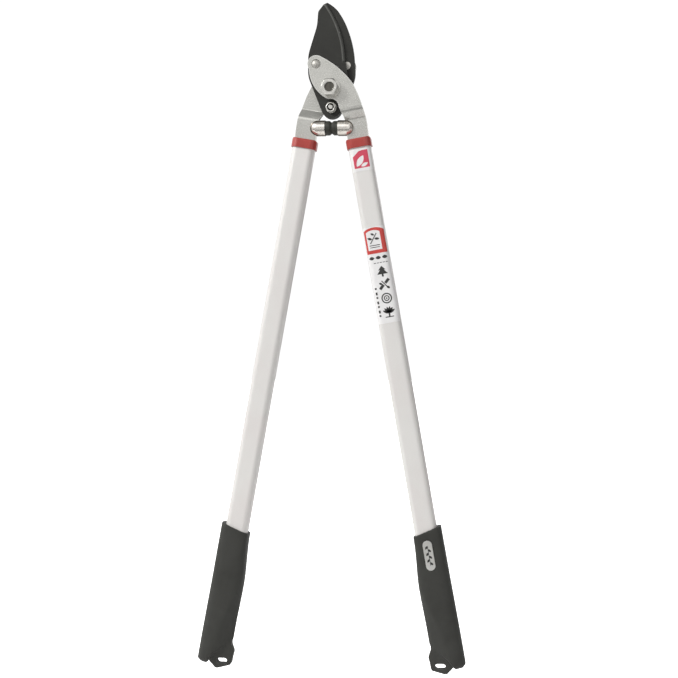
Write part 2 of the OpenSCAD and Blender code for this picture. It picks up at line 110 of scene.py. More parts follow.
class Graph:
    """A node tree with short ways to add and join nodes."""

    def __init__(self, tree: bpy.types.NodeTree) -> None:
        """Starts on a node tree.

        Args:
            tree: The material's, world's or group's tree.
        """
        self.tree = tree

    def add(self, kind: str, **values: object) -> bpy.types.Node:
        """Adds a node.

        Args:
            kind: The node's type name.
            **values: Properties of the node, or numbers for the inputs whose name, in lower
                case with underscores, matches.

        Returns:
            The new node.
        """
        node = self.tree.nodes.new(kind)
        for key, value in values.items():
            if hasattr(node, key):
                setattr(node, key, value)
        for socket in node.inputs:
            key = socket.name.lower().replace(" ", "_")
            if key in values and not hasattr(node, key):
                socket.default_value = values[key]
        return node

    def wire(self, source: bpy.types.NodeSocket, target: bpy.types.NodeSocket) -> None:
        """Joins an output to an input."""
        self.tree.links.new(source, target)

    def here(self) -> bpy.types.NodeSocket:
        """Adds the object's own coordinates."""
        return self.add("ShaderNodeTexCoord").outputs["Object"]

    def math(self, operation: str, first: object, second: object = 0.0) -> bpy.types.NodeSocket:
        """Adds a Math node.

        Args:
            operation: The Math node's operation.
            first: A socket or a number.
            second: A socket or a number.

        Returns:
            The node's output.
        """
        node = self.tree.nodes.new("ShaderNodeMath")
        node.operation = operation
        for slot, value in zip(node.inputs, (first, second)):
            if isinstance(value, bpy.types.NodeSocket):
                self.wire(value, slot)
            else:
                slot.default_value = value
        return node.outputs[0]

    def span(self, value: bpy.types.NodeSocket, source: Point, target: Point) -> bpy.types.NodeSocket:
        """Maps a value from one range to another, clamped and smooth.

        Args:
            value: The socket to map.
            source: The range that it comes from.
            target: The range that it goes to.

        Returns:
            The mapped value.
        """
        node = self.tree.nodes.new("ShaderNodeMapRange")
        node.interpolation_type = "SMOOTHSTEP"
        node.inputs["From Min"].default_value, node.inputs["From Max"].default_value = source
        node.inputs["To Min"].default_value, node.inputs["To Max"].default_value = target
        self.wire(value, node.inputs["Value"])
        return node.outputs["Result"]

    def mix(self, factor: bpy.types.NodeSocket, first: object, second: object) -> bpy.types.NodeSocket:
        """Blends two colours.

        Args:
            factor: How much of the second colour, from 0 to 1.
            first: A colour socket or an RGB triple.
            second: A colour socket or an RGB triple.

        Returns:
            The blended colour.
        """
        node = self.tree.nodes.new("ShaderNodeMix")
        node.data_type = "RGBA"
        self.wire(factor, node.inputs[0])
        for slot, value in ((node.inputs[6], first), (node.inputs[7], second)):
            if isinstance(value, bpy.types.NodeSocket):
                self.wire(value, slot)
            else:
                slot.default_value = (*value, 1.0)
        return node.outputs[2]


GroupMaker = Callable[[Graph, bpy.types.Node, bpy.types.Node], None]


def effect_group(
    name: str, inputs: dict[str, object], outputs: Sequence[str], fill: GroupMaker
) -> bpy.types.NodeTree:
    """Makes a shader node group once.

    Args:
        name: The group's name.
        inputs: Each input's name and default; a triple makes a vector socket.
        outputs: Names of the output values.
        fill: Draws the nodes between the group's input and output.

    Returns:
        The node group.
    """
    if name in bpy.data.node_groups:
        return bpy.data.node_groups[name]
    group = bpy.data.node_groups.new(name, "ShaderNodeTree")
    for key, value in inputs.items():
        kind = "NodeSocketVector" if isinstance(value, tuple) else "NodeSocketFloat"
        group.interface.new_socket(key, in_out="INPUT", socket_type=kind).default_value = value
    for key in outputs:
        group.interface.new_socket(key, in_out="OUTPUT", socket_type="NodeSocketFloat")
    graph = Graph(group)
    fill(graph, group.nodes.new("NodeGroupInput"), group.nodes.new("NodeGroupOutput"))
    return group


def edge_wear_and_highlight() -> bpy.types.NodeTree:
    """Mask of edges with wear and of edges with a painted highlight, broken up by noise.

    Returns:
        The group, with inputs Radius, Low, High and Breakup and output Mask.
    """

    def fill(graph: Graph, given: bpy.types.Node, out: bpy.types.Node) -> None:
        """Compares a softened normal with the true one, and thins the mask with noise.

        Args:
            graph: The group's graph.
            given: The group's input node.
            out: The group's output node.
        """
        bevel = graph.add("ShaderNodeBevel", samples=6)
        graph.wire(given.outputs["Radius"], bevel.inputs["Radius"])
        geometry = graph.add("ShaderNodeNewGeometry")
        dot = graph.add("ShaderNodeVectorMath", operation="DOT_PRODUCT")
        graph.wire(bevel.outputs["Normal"], dot.inputs[0])
        graph.wire(geometry.outputs["True Normal"], dot.inputs[1])
        turned = graph.math("SUBTRACT", 1.0, dot.outputs["Value"])
        ramp = graph.add("ShaderNodeMapRange")
        graph.wire(turned, ramp.inputs["Value"])
        graph.wire(given.outputs["Low"], ramp.inputs["From Min"])
        graph.wire(given.outputs["High"], ramp.inputs["From Max"])
        noise = graph.add("ShaderNodeTexNoise", scale=420.0, detail=4.0)
        graph.wire(graph.here(), noise.inputs["Vector"])
        patchy = graph.span(noise.outputs["Fac"], (0.35, 0.6), (0.0, 1.0))
        kept = graph.math("MULTIPLY", graph.math("SUBTRACT", 1.0, patchy), given.outputs["Breakup"])
        graph.wire(
            graph.math("MULTIPLY", ramp.outputs["Result"], graph.math("SUBTRACT", 1.0, kept)),
            out.inputs["Mask"],
        )

    return effect_group(
        "edge wear", {"Radius": 0.0008, "Low": 0.02, "High": 0.25, "Breakup": 0.6}, ["Mask"], fill
    )


def grain() -> bpy.types.NodeTree:
    """Fine surface noise, which a stretch turns into brushing or rolling lines.

    Returns:
        The group, with inputs Scale, Stretch, Low and High and outputs Value and Height.
    """

    def fill(graph: Graph, given: bpy.types.Node, out: bpy.types.Node) -> None:
        """Stretches the noise, and gives it raw and scaled.

        Args:
            graph: The group's graph.
            given: The group's input node.
            out: The group's output node.
        """
        stretched = graph.add("ShaderNodeVectorMath", operation="MULTIPLY")
        graph.wire(graph.here(), stretched.inputs[0])
        graph.wire(given.outputs["Stretch"], stretched.inputs[1])
        noise = graph.add("ShaderNodeTexNoise", detail=5.0, roughness=0.6)
        graph.wire(stretched.outputs["Vector"], noise.inputs["Vector"])
        graph.wire(given.outputs["Scale"], noise.inputs["Scale"])
        ramp = graph.add("ShaderNodeMapRange")
        ramp.inputs["From Min"].default_value = 0.3
        ramp.inputs["From Max"].default_value = 0.7
        graph.wire(noise.outputs["Fac"], ramp.inputs["Value"])
        graph.wire(given.outputs["Low"], ramp.inputs["To Min"])
        graph.wire(given.outputs["High"], ramp.inputs["To Max"])
        graph.wire(ramp.outputs["Result"], out.inputs["Value"])
        graph.wire(noise.outputs["Fac"], out.inputs["Height"])

    return effect_group(
        "grain",
        {"Scale": 900.0, "Stretch": (1.0, 1.0, 1.0), "Low": 0.35, "High": 0.55},
        ["Value", "Height"],
        fill,
    )


def handling() -> bpy.types.NodeTree:
    """Broad, soft patches of handling and dust.

    Returns:
        The group, with inputs Scale and Amount and output Mask.
    """

    def fill(graph: Graph, given: bpy.types.Node, out: bpy.types.Node) -> None:
        """Softens a broad noise and scales it.

        Args:
            graph: The group's graph.
            given: The group's input node.
            out: The group's output node.
        """
        noise = graph.add("ShaderNodeTexNoise", detail=3.0, distortion=0.6)
        graph.wire(graph.here(), noise.inputs["Vector"])
        graph.wire(given.outputs["Scale"], noise.inputs["Scale"])
        soft = graph.span(noise.outputs["Fac"], (0.38, 0.68), (0.0, 1.0))
        graph.wire(graph.math("MULTIPLY", soft, given.outputs["Amount"]), out.inputs["Mask"])

    return effect_group("handling", {"Scale": 40.0, "Amount": 0.5}, ["Mask"], fill)


def flakes() -> bpy.types.NodeTree:
    """Small bright specks, as in a pearl coat.

    Returns:
        The group, with inputs Scale and Density and output Mask.
    """

    def fill(graph: Graph, given: bpy.types.Node, out: bpy.types.Node) -> None:
        """Picks a share of small cells and keeps their middles.

        Args:
            graph: The group's graph.
            given: The group's input node.
            out: The group's output node.
        """
        cells = graph.add("ShaderNodeTexVoronoi")
        graph.wire(graph.here(), cells.inputs["Vector"])
        graph.wire(given.outputs["Scale"], cells.inputs["Scale"])
        parts = graph.add("ShaderNodeSeparateColor")
        graph.wire(cells.outputs["Color"], parts.inputs["Color"])
        chosen = graph.math("LESS_THAN", parts.outputs["Red"], given.outputs["Density"])
        near = graph.span(cells.outputs["Distance"], (0.15, 0.4), (1.0, 0.0))
        graph.wire(graph.math("MULTIPLY", chosen, near), out.inputs["Mask"])

    return effect_group("flakes", {"Scale": 1800.0, "Density": 0.2}, ["Mask"], fill)


def painted_thread_shade() -> bpy.types.NodeTree:
    """Painted shade: a dark ring where a bolt's thread meets its nut, round an axis along Y.

    Returns:
        The group, with inputs X, Z, Inner and Outer and output Mask.
    """

    def fill(graph: Graph, given: bpy.types.Node, out: bpy.types.Node) -> None:
        """Measures the distance from the axis, and keeps what lies between two radii.

        Args:
            graph: The group's graph.
            given: The group's input node.
            out: The group's output node.
        """
        parts = graph.add("ShaderNodeSeparateXYZ")
        graph.wire(graph.here(), parts.inputs[0])
        apart = [
            graph.math("POWER", graph.math("SUBTRACT", parts.outputs[key], given.outputs[key]), 2.0)
            for key in ("X", "Z")
        ]
        radius = graph.math("SQRT", graph.math("ADD", *apart))
        inside = graph.math("GREATER_THAN", radius, given.outputs["Inner"])
        graph.wire(
            graph.math("MULTIPLY", inside, graph.math("LESS_THAN", radius, given.outputs["Outer"])),
            out.inputs["Mask"],
        )

    return effect_group(
        "thread well", {"X": 0.0, "Z": 0.0, "Inner": 0.002, "Outer": 0.004}, ["Mask"], fill
    )


# ---------------------------------------------------------------- finishes


@dataclass(frozen=True)
class Finish:
    """One surface finish: two base colours, an edge colour for wear and painted edge highlights, and how
    they shine.

    A rim is painted reflection and shade, darkening what turns away from the eye, and the thread ring is
    painted shade round a bolt's thread, given as its axis in X and Z and its two radii.
    """

    name: str
    base: tuple[float, float, float]
    patch: tuple[float, float, float]
    edge: tuple[float, float, float]
    metallic: float = 0.0
    shine: Point = (0.35, 0.5)
    grain_scale: float = 900.0
    stretch: tuple[float, float, float] = (1.0, 1.0, 1.0)
    bump: float = 0.1
    bump_depth: float = 0.00005
    patch_scale: float = 40.0
    patch_amount: float = 0.5
    edge_radius: float = 0.0008
    edge_span: Point = (0.02, 0.25)
    edge_breakup: float = 0.5
    flake_scale: float = 0.0
    flake_density: float = 0.2
    flake_colour: tuple[float, float, float] = (1.0, 1.0, 1.0)
    coat: float = 0.0
    coat_roughness: float = 0.1
    specular: float = 0.5
    sheen: float = 0.0
    # The rim colour is painted reflection and shade where the surface turns away from the eye.
    rim: tuple[float, float, float] | None = None
    painted_rim_span: Point = (0.26, 0.55)
    # The thread ring and its colour are painted shade in the recess round a bolt's thread.
    painted_shade_ring: tuple[float, float, float, float] | None = None
    painted_shade_colour: tuple[float, float, float] = (0.05, 0.048, 0.04)

    def _group(self, graph: Graph, tree: bpy.types.NodeTree, **values: object) -> bpy.types.Node:
        """Places an effect group with this finish's own values.

        Args:
            graph: The material's graph.
            tree: The group.
            **values: Input values by socket name.

        Returns:
            The group node.
        """
        node = graph.tree.nodes.new("ShaderNodeGroup")
        node.node_tree = tree
        for key, value in values.items():
            node.inputs[key].default_value = value
        return node

    def material(self) -> bpy.types.Material:
        """Builds the material once.

        Returns:
            The material.
        """
        if self.name in bpy.data.materials:
            return bpy.data.materials[self.name]
        made = bpy.data.materials.new(self.name)
        made.use_nodes = True
        made.diffuse_color = (*self.base, 1.0)
        graph = Graph(made.node_tree)
        shader = made.node_tree.nodes["Principled BSDF"]
        patches = self._group(graph, handling(), Scale=self.patch_scale, Amount=self.patch_amount)
        colour = graph.mix(patches.outputs["Mask"], self.base, self.patch)
        if self.flake_scale:
            specks = self._group(graph, flakes(), Scale=self.flake_scale, Density=self.flake_density)
            colour = graph.mix(specks.outputs["Mask"], colour, self.flake_colour)
        # Edge colour: partly wear, partly a painted highlight on rounded edges.
        wear_and_highlight = self._group(
            graph, edge_wear_and_highlight(), Radius=self.edge_radius, Low=self.edge_span[0],
            High=self.edge_span[1], Breakup=self.edge_breakup,
        )
        colour = graph.mix(wear_and_highlight.outputs["Mask"], colour, self.edge)
        # Painted reflection and shade: a darker colour where the surface turns away from the eye.
        if self.rim:
            turned = graph.add("ShaderNodeLayerWeight", blend=0.5)
            away = graph.span(turned.outputs["Facing"], self.painted_rim_span, (0.0, 1.0))
            colour = graph.mix(away, colour, self.rim)
        # Painted shade: a dark ring in the recess round a bolt's thread.
        if self.painted_shade_ring:
            ring = dict(zip(("X", "Z", "Inner", "Outer"), self.painted_shade_ring))
            painted_shade_spot = self._group(graph, painted_thread_shade(), **ring)
            colour = graph.mix(painted_shade_spot.outputs["Mask"], colour, self.painted_shade_colour)
        graph.wire(colour, shader.inputs["Base Color"])
        fine = self._group(
            graph, grain(), Scale=self.grain_scale, Stretch=self.stretch,
            Low=self.shine[0], High=self.shine[1],
        )
        graph.wire(fine.outputs["Value"], shader.inputs["Roughness"])
        bump = graph.add("ShaderNodeBump", strength=self.bump, distance=self.bump_depth)
        graph.wire(fine.outputs["Height"], bump.inputs["Height"])
        graph.wire(bump.outputs["Normal"], shader.inputs["Normal"])
        shader.inputs["Metallic"].default_value = self.metallic
        shader.inputs["Specular IOR Level"].default_value = self.specular
        shader.inputs["Coat Weight"].default_value = self.coat
        shader.inputs["Coat Roughness"].default_value = self.coat_roughness
        shader.inputs["Sheen Weight"].default_value = self.sheen
        return made


# Its edge colour is a painted highlight: the bright rims where the plates' rounded edges catch the
# light.
PLATED_PLATE = Finish(
    "satin plated plate", (0.595, 0.588, 0.552), (0.525, 0.522, 0.487), (0.97, 0.96, 0.93),
    metallic=0.62, shine=(0.20, 0.30), grain_scale=1500.0, bump=0.09, bump_depth=0.00003,
    patch_scale=55.0, patch_amount=0.55, edge_radius=0.0014, edge_span=(0.01, 0.12),
    edge_breakup=0.1,
)
# Its edge colour is partly wear and partly a painted highlight: the thin light lines along the blades'
# edges.
BLADE_COAT = Finish(
    "black blade coating", (0.021, 0.0205, 0.0175), (0.030, 0.0305, 0.026), (0.14, 0.14, 0.13),
    shine=(0.42, 0.60), grain_scale=2200.0, bump=0.35, bump_depth=0.00004, patch_scale=30.0,
    patch_amount=0.8, edge_radius=0.0005, edge_span=(0.02, 0.3), edge_breakup=0.45, specular=0.28,
)
# Its edge colour is a painted highlight: the thin light line along the cutting blade's bevel.
GROUND_EDGE = Finish(
    "ground blade edge", (0.020, 0.020, 0.017), (0.029, 0.029, 0.026), (0.13, 0.13, 0.12), metallic=0.1,
    shine=(0.52, 0.66), grain_scale=2600.0, stretch=(1.0, 1.0, 0.15), bump=0.3, bump_depth=0.00003,
    patch_scale=260.0, patch_amount=0.8, edge_radius=0.0006, edge_breakup=0.2,
)
BRIGHT_ZINC = Finish(
    "bright zinc hardware", (0.70, 0.69, 0.65), (0.58, 0.57, 0.53), (0.95, 0.94, 0.90), metallic=0.9,
    shine=(0.22, 0.36), grain_scale=1800.0, bump=0.2, bump_depth=0.00003, patch_scale=180.0,
    patch_amount=0.5, edge_radius=0.0005, edge_breakup=0.25,
)
# Its rim colour paints the dark ring of shade round the pin's dome.
PIN_STEEL = Finish(
    "peened pin steel", (0.54, 0.525, 0.49), (0.42, 0.41, 0.37), (0.80, 0.79, 0.74), metallic=0.75,
    shine=(0.50, 0.62), grain_scale=2600.0, bump=0.4, bump_depth=0.00005, patch_scale=350.0,
    patch_amount=0.6, edge_radius=0.0004, rim=(0.10, 0.098, 0.085), painted_rim_span=(0.22, 0.6),
)
BLACK_OXIDE = Finish(
    "black oxide bolt", (0.075, 0.072, 0.060), (0.12, 0.11, 0.095), (0.30, 0.29, 0.26), metallic=0.6,
    shine=(0.38, 0.55), grain_scale=2000.0, bump=0.3, patch_scale=200.0, edge_radius=0.0005,
)
NATURAL_NYLON = Finish(
    "natural nylon", (0.80, 0.79, 0.73), (0.72, 0.70, 0.62), (0.88, 0.87, 0.82), shine=(0.4, 0.5),
)
# Its rim colour paints the dark reflections along the cup's outlines.
POLISHED_NICKEL = Finish(
    "polished nickel cup", (0.90, 0.86, 0.80), (0.78, 0.73, 0.66), (0.95, 0.92, 0.87), metallic=0.9,
    shine=(0.22, 0.34), grain_scale=700.0, stretch=(0.3, 1.0, 1.0), bump=0.06, bump_depth=0.00004,
    patch_scale=160.0, patch_amount=0.6, edge_radius=0.0005, rim=(0.10, 0.075, 0.055),
)
BUFFER_RUBBER = Finish(
    "moulded buffer rubber", (0.024, 0.024, 0.018), (0.036, 0.036, 0.028), (0.060, 0.060, 0.050),
    shine=(0.50, 0.66), grain_scale=2600.0, bump=0.5, bump_depth=0.00006, patch_scale=220.0,
    edge_radius=0.0006,
)
RED_COLLAR = Finish(
    "moulded red collar", (0.385, 0.042, 0.032), (0.33, 0.034, 0.026), (0.50, 0.085, 0.065),
    shine=(0.26, 0.36), grain_scale=2000.0, bump=0.12, bump_depth=0.00003, patch_scale=70.0,
    patch_amount=0.7, edge_radius=0.0006, edge_breakup=0.3, coat=0.25,
)
PEARL_COAT = Finish(
    "pearl white powder coat", (0.715, 0.70, 0.675), (0.70, 0.665, 0.645), (0.78, 0.77, 0.755),
    metallic=0.05, shine=(0.28, 0.40), grain_scale=2400.0, bump=0.22, bump_depth=0.00003,
    patch_scale=14.0, patch_amount=0.7, flake_scale=2600.0, flake_density=0.16,
    flake_colour=(0.84, 0.82, 0.81), coat=0.35, coat_roughness=0.18,
)
SOFT_GRIP = Finish(
    "soft-touch grip moulding", (0.030, 0.030, 0.026), (0.038, 0.038, 0.034), (0.055, 0.055, 0.050),
    shine=(0.50, 0.64), grain_scale=1900.0, bump=0.45, bump_depth=0.00006, patch_scale=26.0,
    patch_amount=0.8, edge_radius=0.001, edge_breakup=0.4, specular=0.3, sheen=0.04,
)
LABEL_FILM = Finish(
    "white label film", (0.80, 0.79, 0.785), (0.76, 0.745, 0.74), (0.84, 0.83, 0.82),
    shine=(0.28, 0.36), grain_scale=1500.0, bump=0.08, patch_scale=60.0, coat=0.3,
)
BADGE_FOIL = Finish(
    "satin badge foil", (0.74, 0.73, 0.70), (0.66, 0.65, 0.62), (0.88, 0.87, 0.84), metallic=0.9,
    shine=(0.28, 0.42), grain_scale=1600.0, stretch=(1.0, 1.0, 0.08), bump=0.15, edge_radius=0.0004,
)
RED_INK = Finish(
    "red label print", (0.56, 0.055, 0.045), (0.50, 0.045, 0.038), (0.56, 0.07, 0.06),
    shine=(0.30, 0.40), grain_scale=1500.0, bump=0.05, patch_scale=120.0, edge_radius=0.0001,
)
PINK_INK = replace(
    RED_INK, name="rose label print", base=(0.60, 0.060, 0.105), patch=(0.53, 0.050, 0.090),
    edge=(0.60, 0.08, 0.12),
)
BLACK_INK = replace(
    RED_INK, name="black label print", base=(0.030, 0.030, 0.028), patch=(0.040, 0.040, 0.037),
    edge=(0.05, 0.05, 0.045), shine=(0.34, 0.44),
)


# ---------------------------------------------------------------- mesh helpers


def placed(name: str, data: bpy.types.ID) -> bpy.types.Object:
    """Puts new data in the scene as an object.

    Args:
        name: The object's name.
        data: Its mesh, light or camera.

    Returns:
        The object.
    """
    thing = bpy.data.objects.new(name, data)
    bpy.context.scene.collection.objects.link(thing)
    return thing


def kept_mesh(name: str, shape: bmesh.types.BMesh) -> bpy.types.Mesh:
    """Turns an edited shape into a mesh.

    Args:
        name: The mesh's name.
        shape: The shape, which is freed.

    Returns:
        The mesh.
    """
    mesh = bpy.data.meshes.new(name)
    shape.to_mesh(mesh)
    shape.free()
    return mesh


def join_rings(shape: bmesh.types.BMesh, first: list, second: list) -> None:
    """Joins two rings of as many vertices with a band of faces.

    Args:
        shape: The mesh being built.
        first: One ring's vertices in order.
        second: The other ring's vertices in order.
    """
    for a, b, c, d in zip(first, first[1:] + first[:1], second[1:] + second[:1], second):
        shape.faces.new((a, b, c, d))


def slab_between(front: Sequence[Vector], back: Sequence[Vector]) -> bmesh.types.BMesh:
    """Makes a closed flat solid between two outlines.

    Args:
        front: Points of the front outline.
        back: Points of the back outline, in the same order.

    Returns:
        The solid, which the caller frees.
    """
    shape = bmesh.new()
    rings = [[shape.verts.new(point) for point in outline] for outline in (front, back)]
    shape.faces.new(rings[0])
    shape.faces.new(list(reversed(rings[1])))
    join_rings(shape, *rings)
    bmesh.ops.recalc_face_normals(shape, faces=shape.faces)
    return shape


def new_piece(
    name: str, mesh: bpy.types.Mesh, finish: Finish, slot: str, body: Body
) -> bpy.types.Object:
    """Puts a finished mesh in the scene.

    Args:
        name: The piece's name.
        mesh: Its mesh, in the row frame.
        finish: Its surface finish.
        slot: The record's material slot that it belongs to; not used.
        body: The body that it rides on.

    Returns:
        The new object.
    """
    piece = placed(name, mesh)
    mesh.materials.clear()
    mesh.materials.append(finish.material())
    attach(piece, body.value)
    LOG.info("%s: %d faces on %s", name, len(mesh.polygons), body.value)
    return piece


def smooth_faces(mesh: bpy.types.Mesh, angle: float = math.radians(38.0)) -> None:
    """Shades a mesh smooth, apart from edges sharper than the angle.

    Args:
        mesh: The mesh.
        angle: The angle in radians.
    """
    mesh.shade_smooth()
    mesh.set_sharp_from_angle(angle=angle)


def weigh_normals(piece: bpy.types.Object) -> None:
    """Keeps large flat faces flat beside rounded edges.

    Args:
        piece: The piece, which gets a modifier.
    """
    weighted = piece.modifiers.new("face weights", "WEIGHTED_NORMAL")
    weighted.keep_sharp = True
    weighted.weight = 90


def welded(node: str) -> bmesh.types.BMesh:
    """Copies a CAD node as one clean closed mesh with its flat faces whole.

    Args:
        node: The CAD node's name.

    Returns:
        The mesh, which the caller frees.
    """
    shape = bmesh.new()
    shape.from_mesh(frame["nodes"][node].data)
    bmesh.ops.remove_doubles(shape, verts=shape.verts, dist=WELD_GAP)
    bmesh.ops.dissolve_limit(shape, angle_limit=FLAT_WITHIN, verts=shape.verts, edges=shape.edges)
    return shape


def rounded_copy(
    node: str, finish: Finish, slot: str, body: Body, radius: float, steps: int = 3
) -> bpy.types.Object:
    """Makes a copy of a CAD node with truly rounded edges, which stands for the node.

    Args:
        node: The CAD node's name.
        finish: The copy's finish.
        slot: The record's material slot.
        body: The body that it rides on.
        radius: Width of the rounding.
        steps: Faces across the rounding.

    Returns:
        The copy.
    """
    shape = welded(node)
    edges = [e for e in shape.edges if len(e.link_faces) == 2 and e.calc_face_angle(0.0) > ROUNDED_FROM]
    bmesh.ops.bevel(
        shape, geom=edges, offset=radius, offset_type="OFFSET", segments=steps, profile=0.5,
        affect="EDGES", clamp_overlap=True,
    )
    mesh = kept_mesh(f"{node}_finished", shape)
    smooth_faces(mesh)
    piece = new_piece(f"{node}_finished", mesh, finish, slot, body)
    weigh_normals(piece)
    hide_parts(node)
    return piece


def dress(node: str, finish: Finish) -> None:
    """Gives a CAD node that stays its procedural finish.

    Args:
        node: The CAD node's name.
        finish: Its finish.
    """
    mesh = frame["nodes"][node].data
    mesh.materials.clear()
    mesh.materials.append(finish.material())
    LOG.info("%s keeps its shape, in %s", node, finish.name)


# ---------------------------------------------------------------- places on the handles


@dataclass(frozen=True)
class HandleLine:
    """The straight line that a handle follows, and the tube's section round it.

    The left handle is the right one turned half round the middle axis, so its front is its back.
    """

    lean: float = math.radians(10.0)
    foot: float = 19.4 * MM
    half_width: float = 12.25 * MM
    half_depth: float = 8.25 * MM
    corner: float = 6.0 * MM

    def at(self, side: Side, across: float, depth: float, down: float) -> Vector:
        """Finds a point of a handle at rest.

        Args:
            side: Which handle.
            across: Distance outwards from the handle's line.
            depth: Distance from the middle plane, to the front of the right handle.
            down: Distance down the handle from the pivot line.

        Returns:
            The point in the row frame.
        """
        x = self.foot + down * math.sin(self.lean) + across * math.cos(self.lean)
        z = across * math.sin(self.lean) - down * math.cos(self.lean)
        return Vector((side.sign * x, MIDDLE - side.sign * depth, z))

    def on_tube(self, round_way: float, lift: float, down: float) -> Vector:
        """Finds a point just over the front of the right tube.

        Args:
            round_way: Distance round the tube's section from the middle of its front.
            lift: Height over the tube's surface.
            down: Distance down the handle from the pivot line.

        Returns:
            The point in the row frame.
        """
        flat = self.half_width - self.corner
        over = max(0.0, abs(round_way) - flat)
        turn = over / self.corner
        across = min(abs(round_way), flat) + (self.corner + lift) * math.sin(turn)
        depth = self.half_depth - self.corner + (self.corner + lift) * math.cos(turn)
        return self.at(Side.RIGHT, math.copysign(across, round_way), depth, down)


MIDDLE = frame["joints"][0]["pos_m"][1]
LINE = HandleLine()


def distance_down(node: str, top: bool) -> float:
    """Finds how far down its handle a node of the right handle starts or ends.

    Args:
        node: A CAD node of the right handle, square to the handle's line at that end.
        top: True for its upper end.

    Returns:
        The distance in metres.
    """
    start = Vector((LINE.foot, 0.0, 0.0))
    way = Vector((math.sin(LINE.lean), 0.0, -math.cos(LINE.lean)))
    downs = [(v.co - start).dot(way) for v in frame["nodes"][node].data.vertices]
    return min(downs) if top else max(downs)


def ramp(value: float, span: Point) -> float:
    """Goes smoothly from 0 at the span's start to 1 at its end, and stays there outside it.

    Args:
        value: Where along the span, in the span's own unit.
        span: Its start and end.

    Returns:
        The share from 0 to 1.
    """
    kept = min(1.0, max(0.0, (value - span[0]) / (span[1] - span[0])))
    return kept * kept * (3.0 - 2.0 * kept)


# ---------------------------------------------------------------- sub-assemblies


@dataclass
class Blades:
    """The black bypass blades and the bolt that joins their tails."""

    edge_round: float = 0.35 * MM
    hardware_round: float = 0.25 * MM
    # Inner and outer radius of the ring of painted shade round the tail bolt's thread.
    painted_shade_radii: Point = (2.3 * MM, 3.9 * MM)
    bevel: Point = (0.5, 0.8)
    ground_lift: float = 0.04 * MM
    side_lift: float = 0.028 * MM

    def build(self) -> None:
        """Builds and dresses the blades and their hardware."""
        rounded_copy("cutting_blade", BLADE_COAT, "blade", Body.CUTTING, self.edge_round)
        rounded_copy("hook_blade", BLADE_COAT, "blade", Body.HOOK, self.edge_round)
        self._ground_edge()
        # The tail bolt and nut get a dark ring of painted shade round the thread, for the shade in the
        # nut's recess.
        tail = frame["nodes"]["blade_washer"].data.vertices
        middle = sum(v.co.z for v in tail) / len(tail)
        painted_shade_ring = (0.0, middle, *self.painted_shade_radii)
        zinc_with_painted_shade = replace(BRIGHT_ZINC, name="zinc with painted thread shade", painted_shade_ring=painted_shade_ring)
        for node in ("blade_bolt", "blade_nut"):
            rounded_copy(node, zinc_with_painted_shade, "zinc", Body.HOOK, self.hardware_round)
        rounded_copy("blade_washer", BRIGHT_ZINC, "zinc", Body.HOOK, self.hardware_round)

    def _ground_edge(self) -> None:
        """Lays the ground surface on the cutting blade's bevel; its edge colour paints the light line
        along it as a highlight.
        """
        shape = welded("cutting_blade")
        shape.normal_update()
        low, high = self.bevel
        other = [f for f in shape.faces if not (f.normal.x > 0.0 and low < -f.normal.y < high)]
        bmesh.ops.delete(shape, geom=other, context="FACES")
        bmesh.ops.translate(shape, verts=shape.verts, vec=(self.side_lift, -self.ground_lift, 0.0))
        mesh = kept_mesh("ground_edge", shape)
        piece = new_piece("ground_edge", mesh, GROUND_EDGE, "blade", Body.CUTTING)
        skin = piece.modifiers.new("skin", "SOLIDIFY")
        skin.thickness = self.ground_lift


@dataclass
class PlatesAndPivot:
    """The stamped handle plates, the main pivot through them and the blade pins."""

    plate_round: float = 1.0 * MM
    hardware_round: float = 0.35 * MM
    pin_round: float = 0.25 * MM

    def build(self) -> None:
        """Builds the plates, then the hardware that rides on each of them."""
        for node, body in (("front_plate", Body.RIGHT), ("rear_plate", Body.LEFT)):
            rounded_copy(node, PLATED_PLATE, "plate", body, self.plate_round, steps=4)
        rounded_copy("pivot_bolt", BLACK_OXIDE, "black_bolt", Body.LEFT, self.hardware_round)
        for node in ("pivot_nut", "pivot_front_washer", "pivot_rear_washer"):
            rounded_copy(node, BRIGHT_ZINC, "zinc", Body.LEFT, self.hardware_round)
        dress("spacer_sleeve", BRIGHT_ZINC)
        for node, body in (("cutting_blade_pin", Body.RIGHT), ("hook_blade_pin", Body.LEFT)):
            rounded_copy(node, PIN_STEEL, "pin_steel", body, self.pin_round)
        for node in ("front_slip_washer", "rear_slip_washer"):
            dress(node, NATURAL_NYLON)


@dataclass
class Bumper:
    """A rubber buffer in a polished cup on one plate."""

    side: Side
    cup_round: float = 0.5 * MM
    rubber_round: float = 0.9 * MM

    def build(self) -> None:
        """Builds the cup and its buffer."""
        name, body = self.side.value, self.side.body
        rounded_copy(f"{name}_bumper_cup", POLISHED_NICKEL, "chrome_cup", body, self.cup_round)
        rounded_copy(f"{name}_buffer", BUFFER_RUBBER, "buffer_rubber", body, self.rubber_round)


@dataclass
class Handle:
    """One long handle: collar, tube and moulded grip."""

    side: Side
    collar_round: float = 0.6 * MM

    def build(self) -> None:
        """Builds the handle's three pieces."""
        name, body = self.side.value, self.side.body
        rounded_copy(f"{name}_collar", RED_COLLAR, "collar", body, self.collar_round)
        dress(f"{name}_tube", PEARL_COAT)
        Grip(self.side).build()


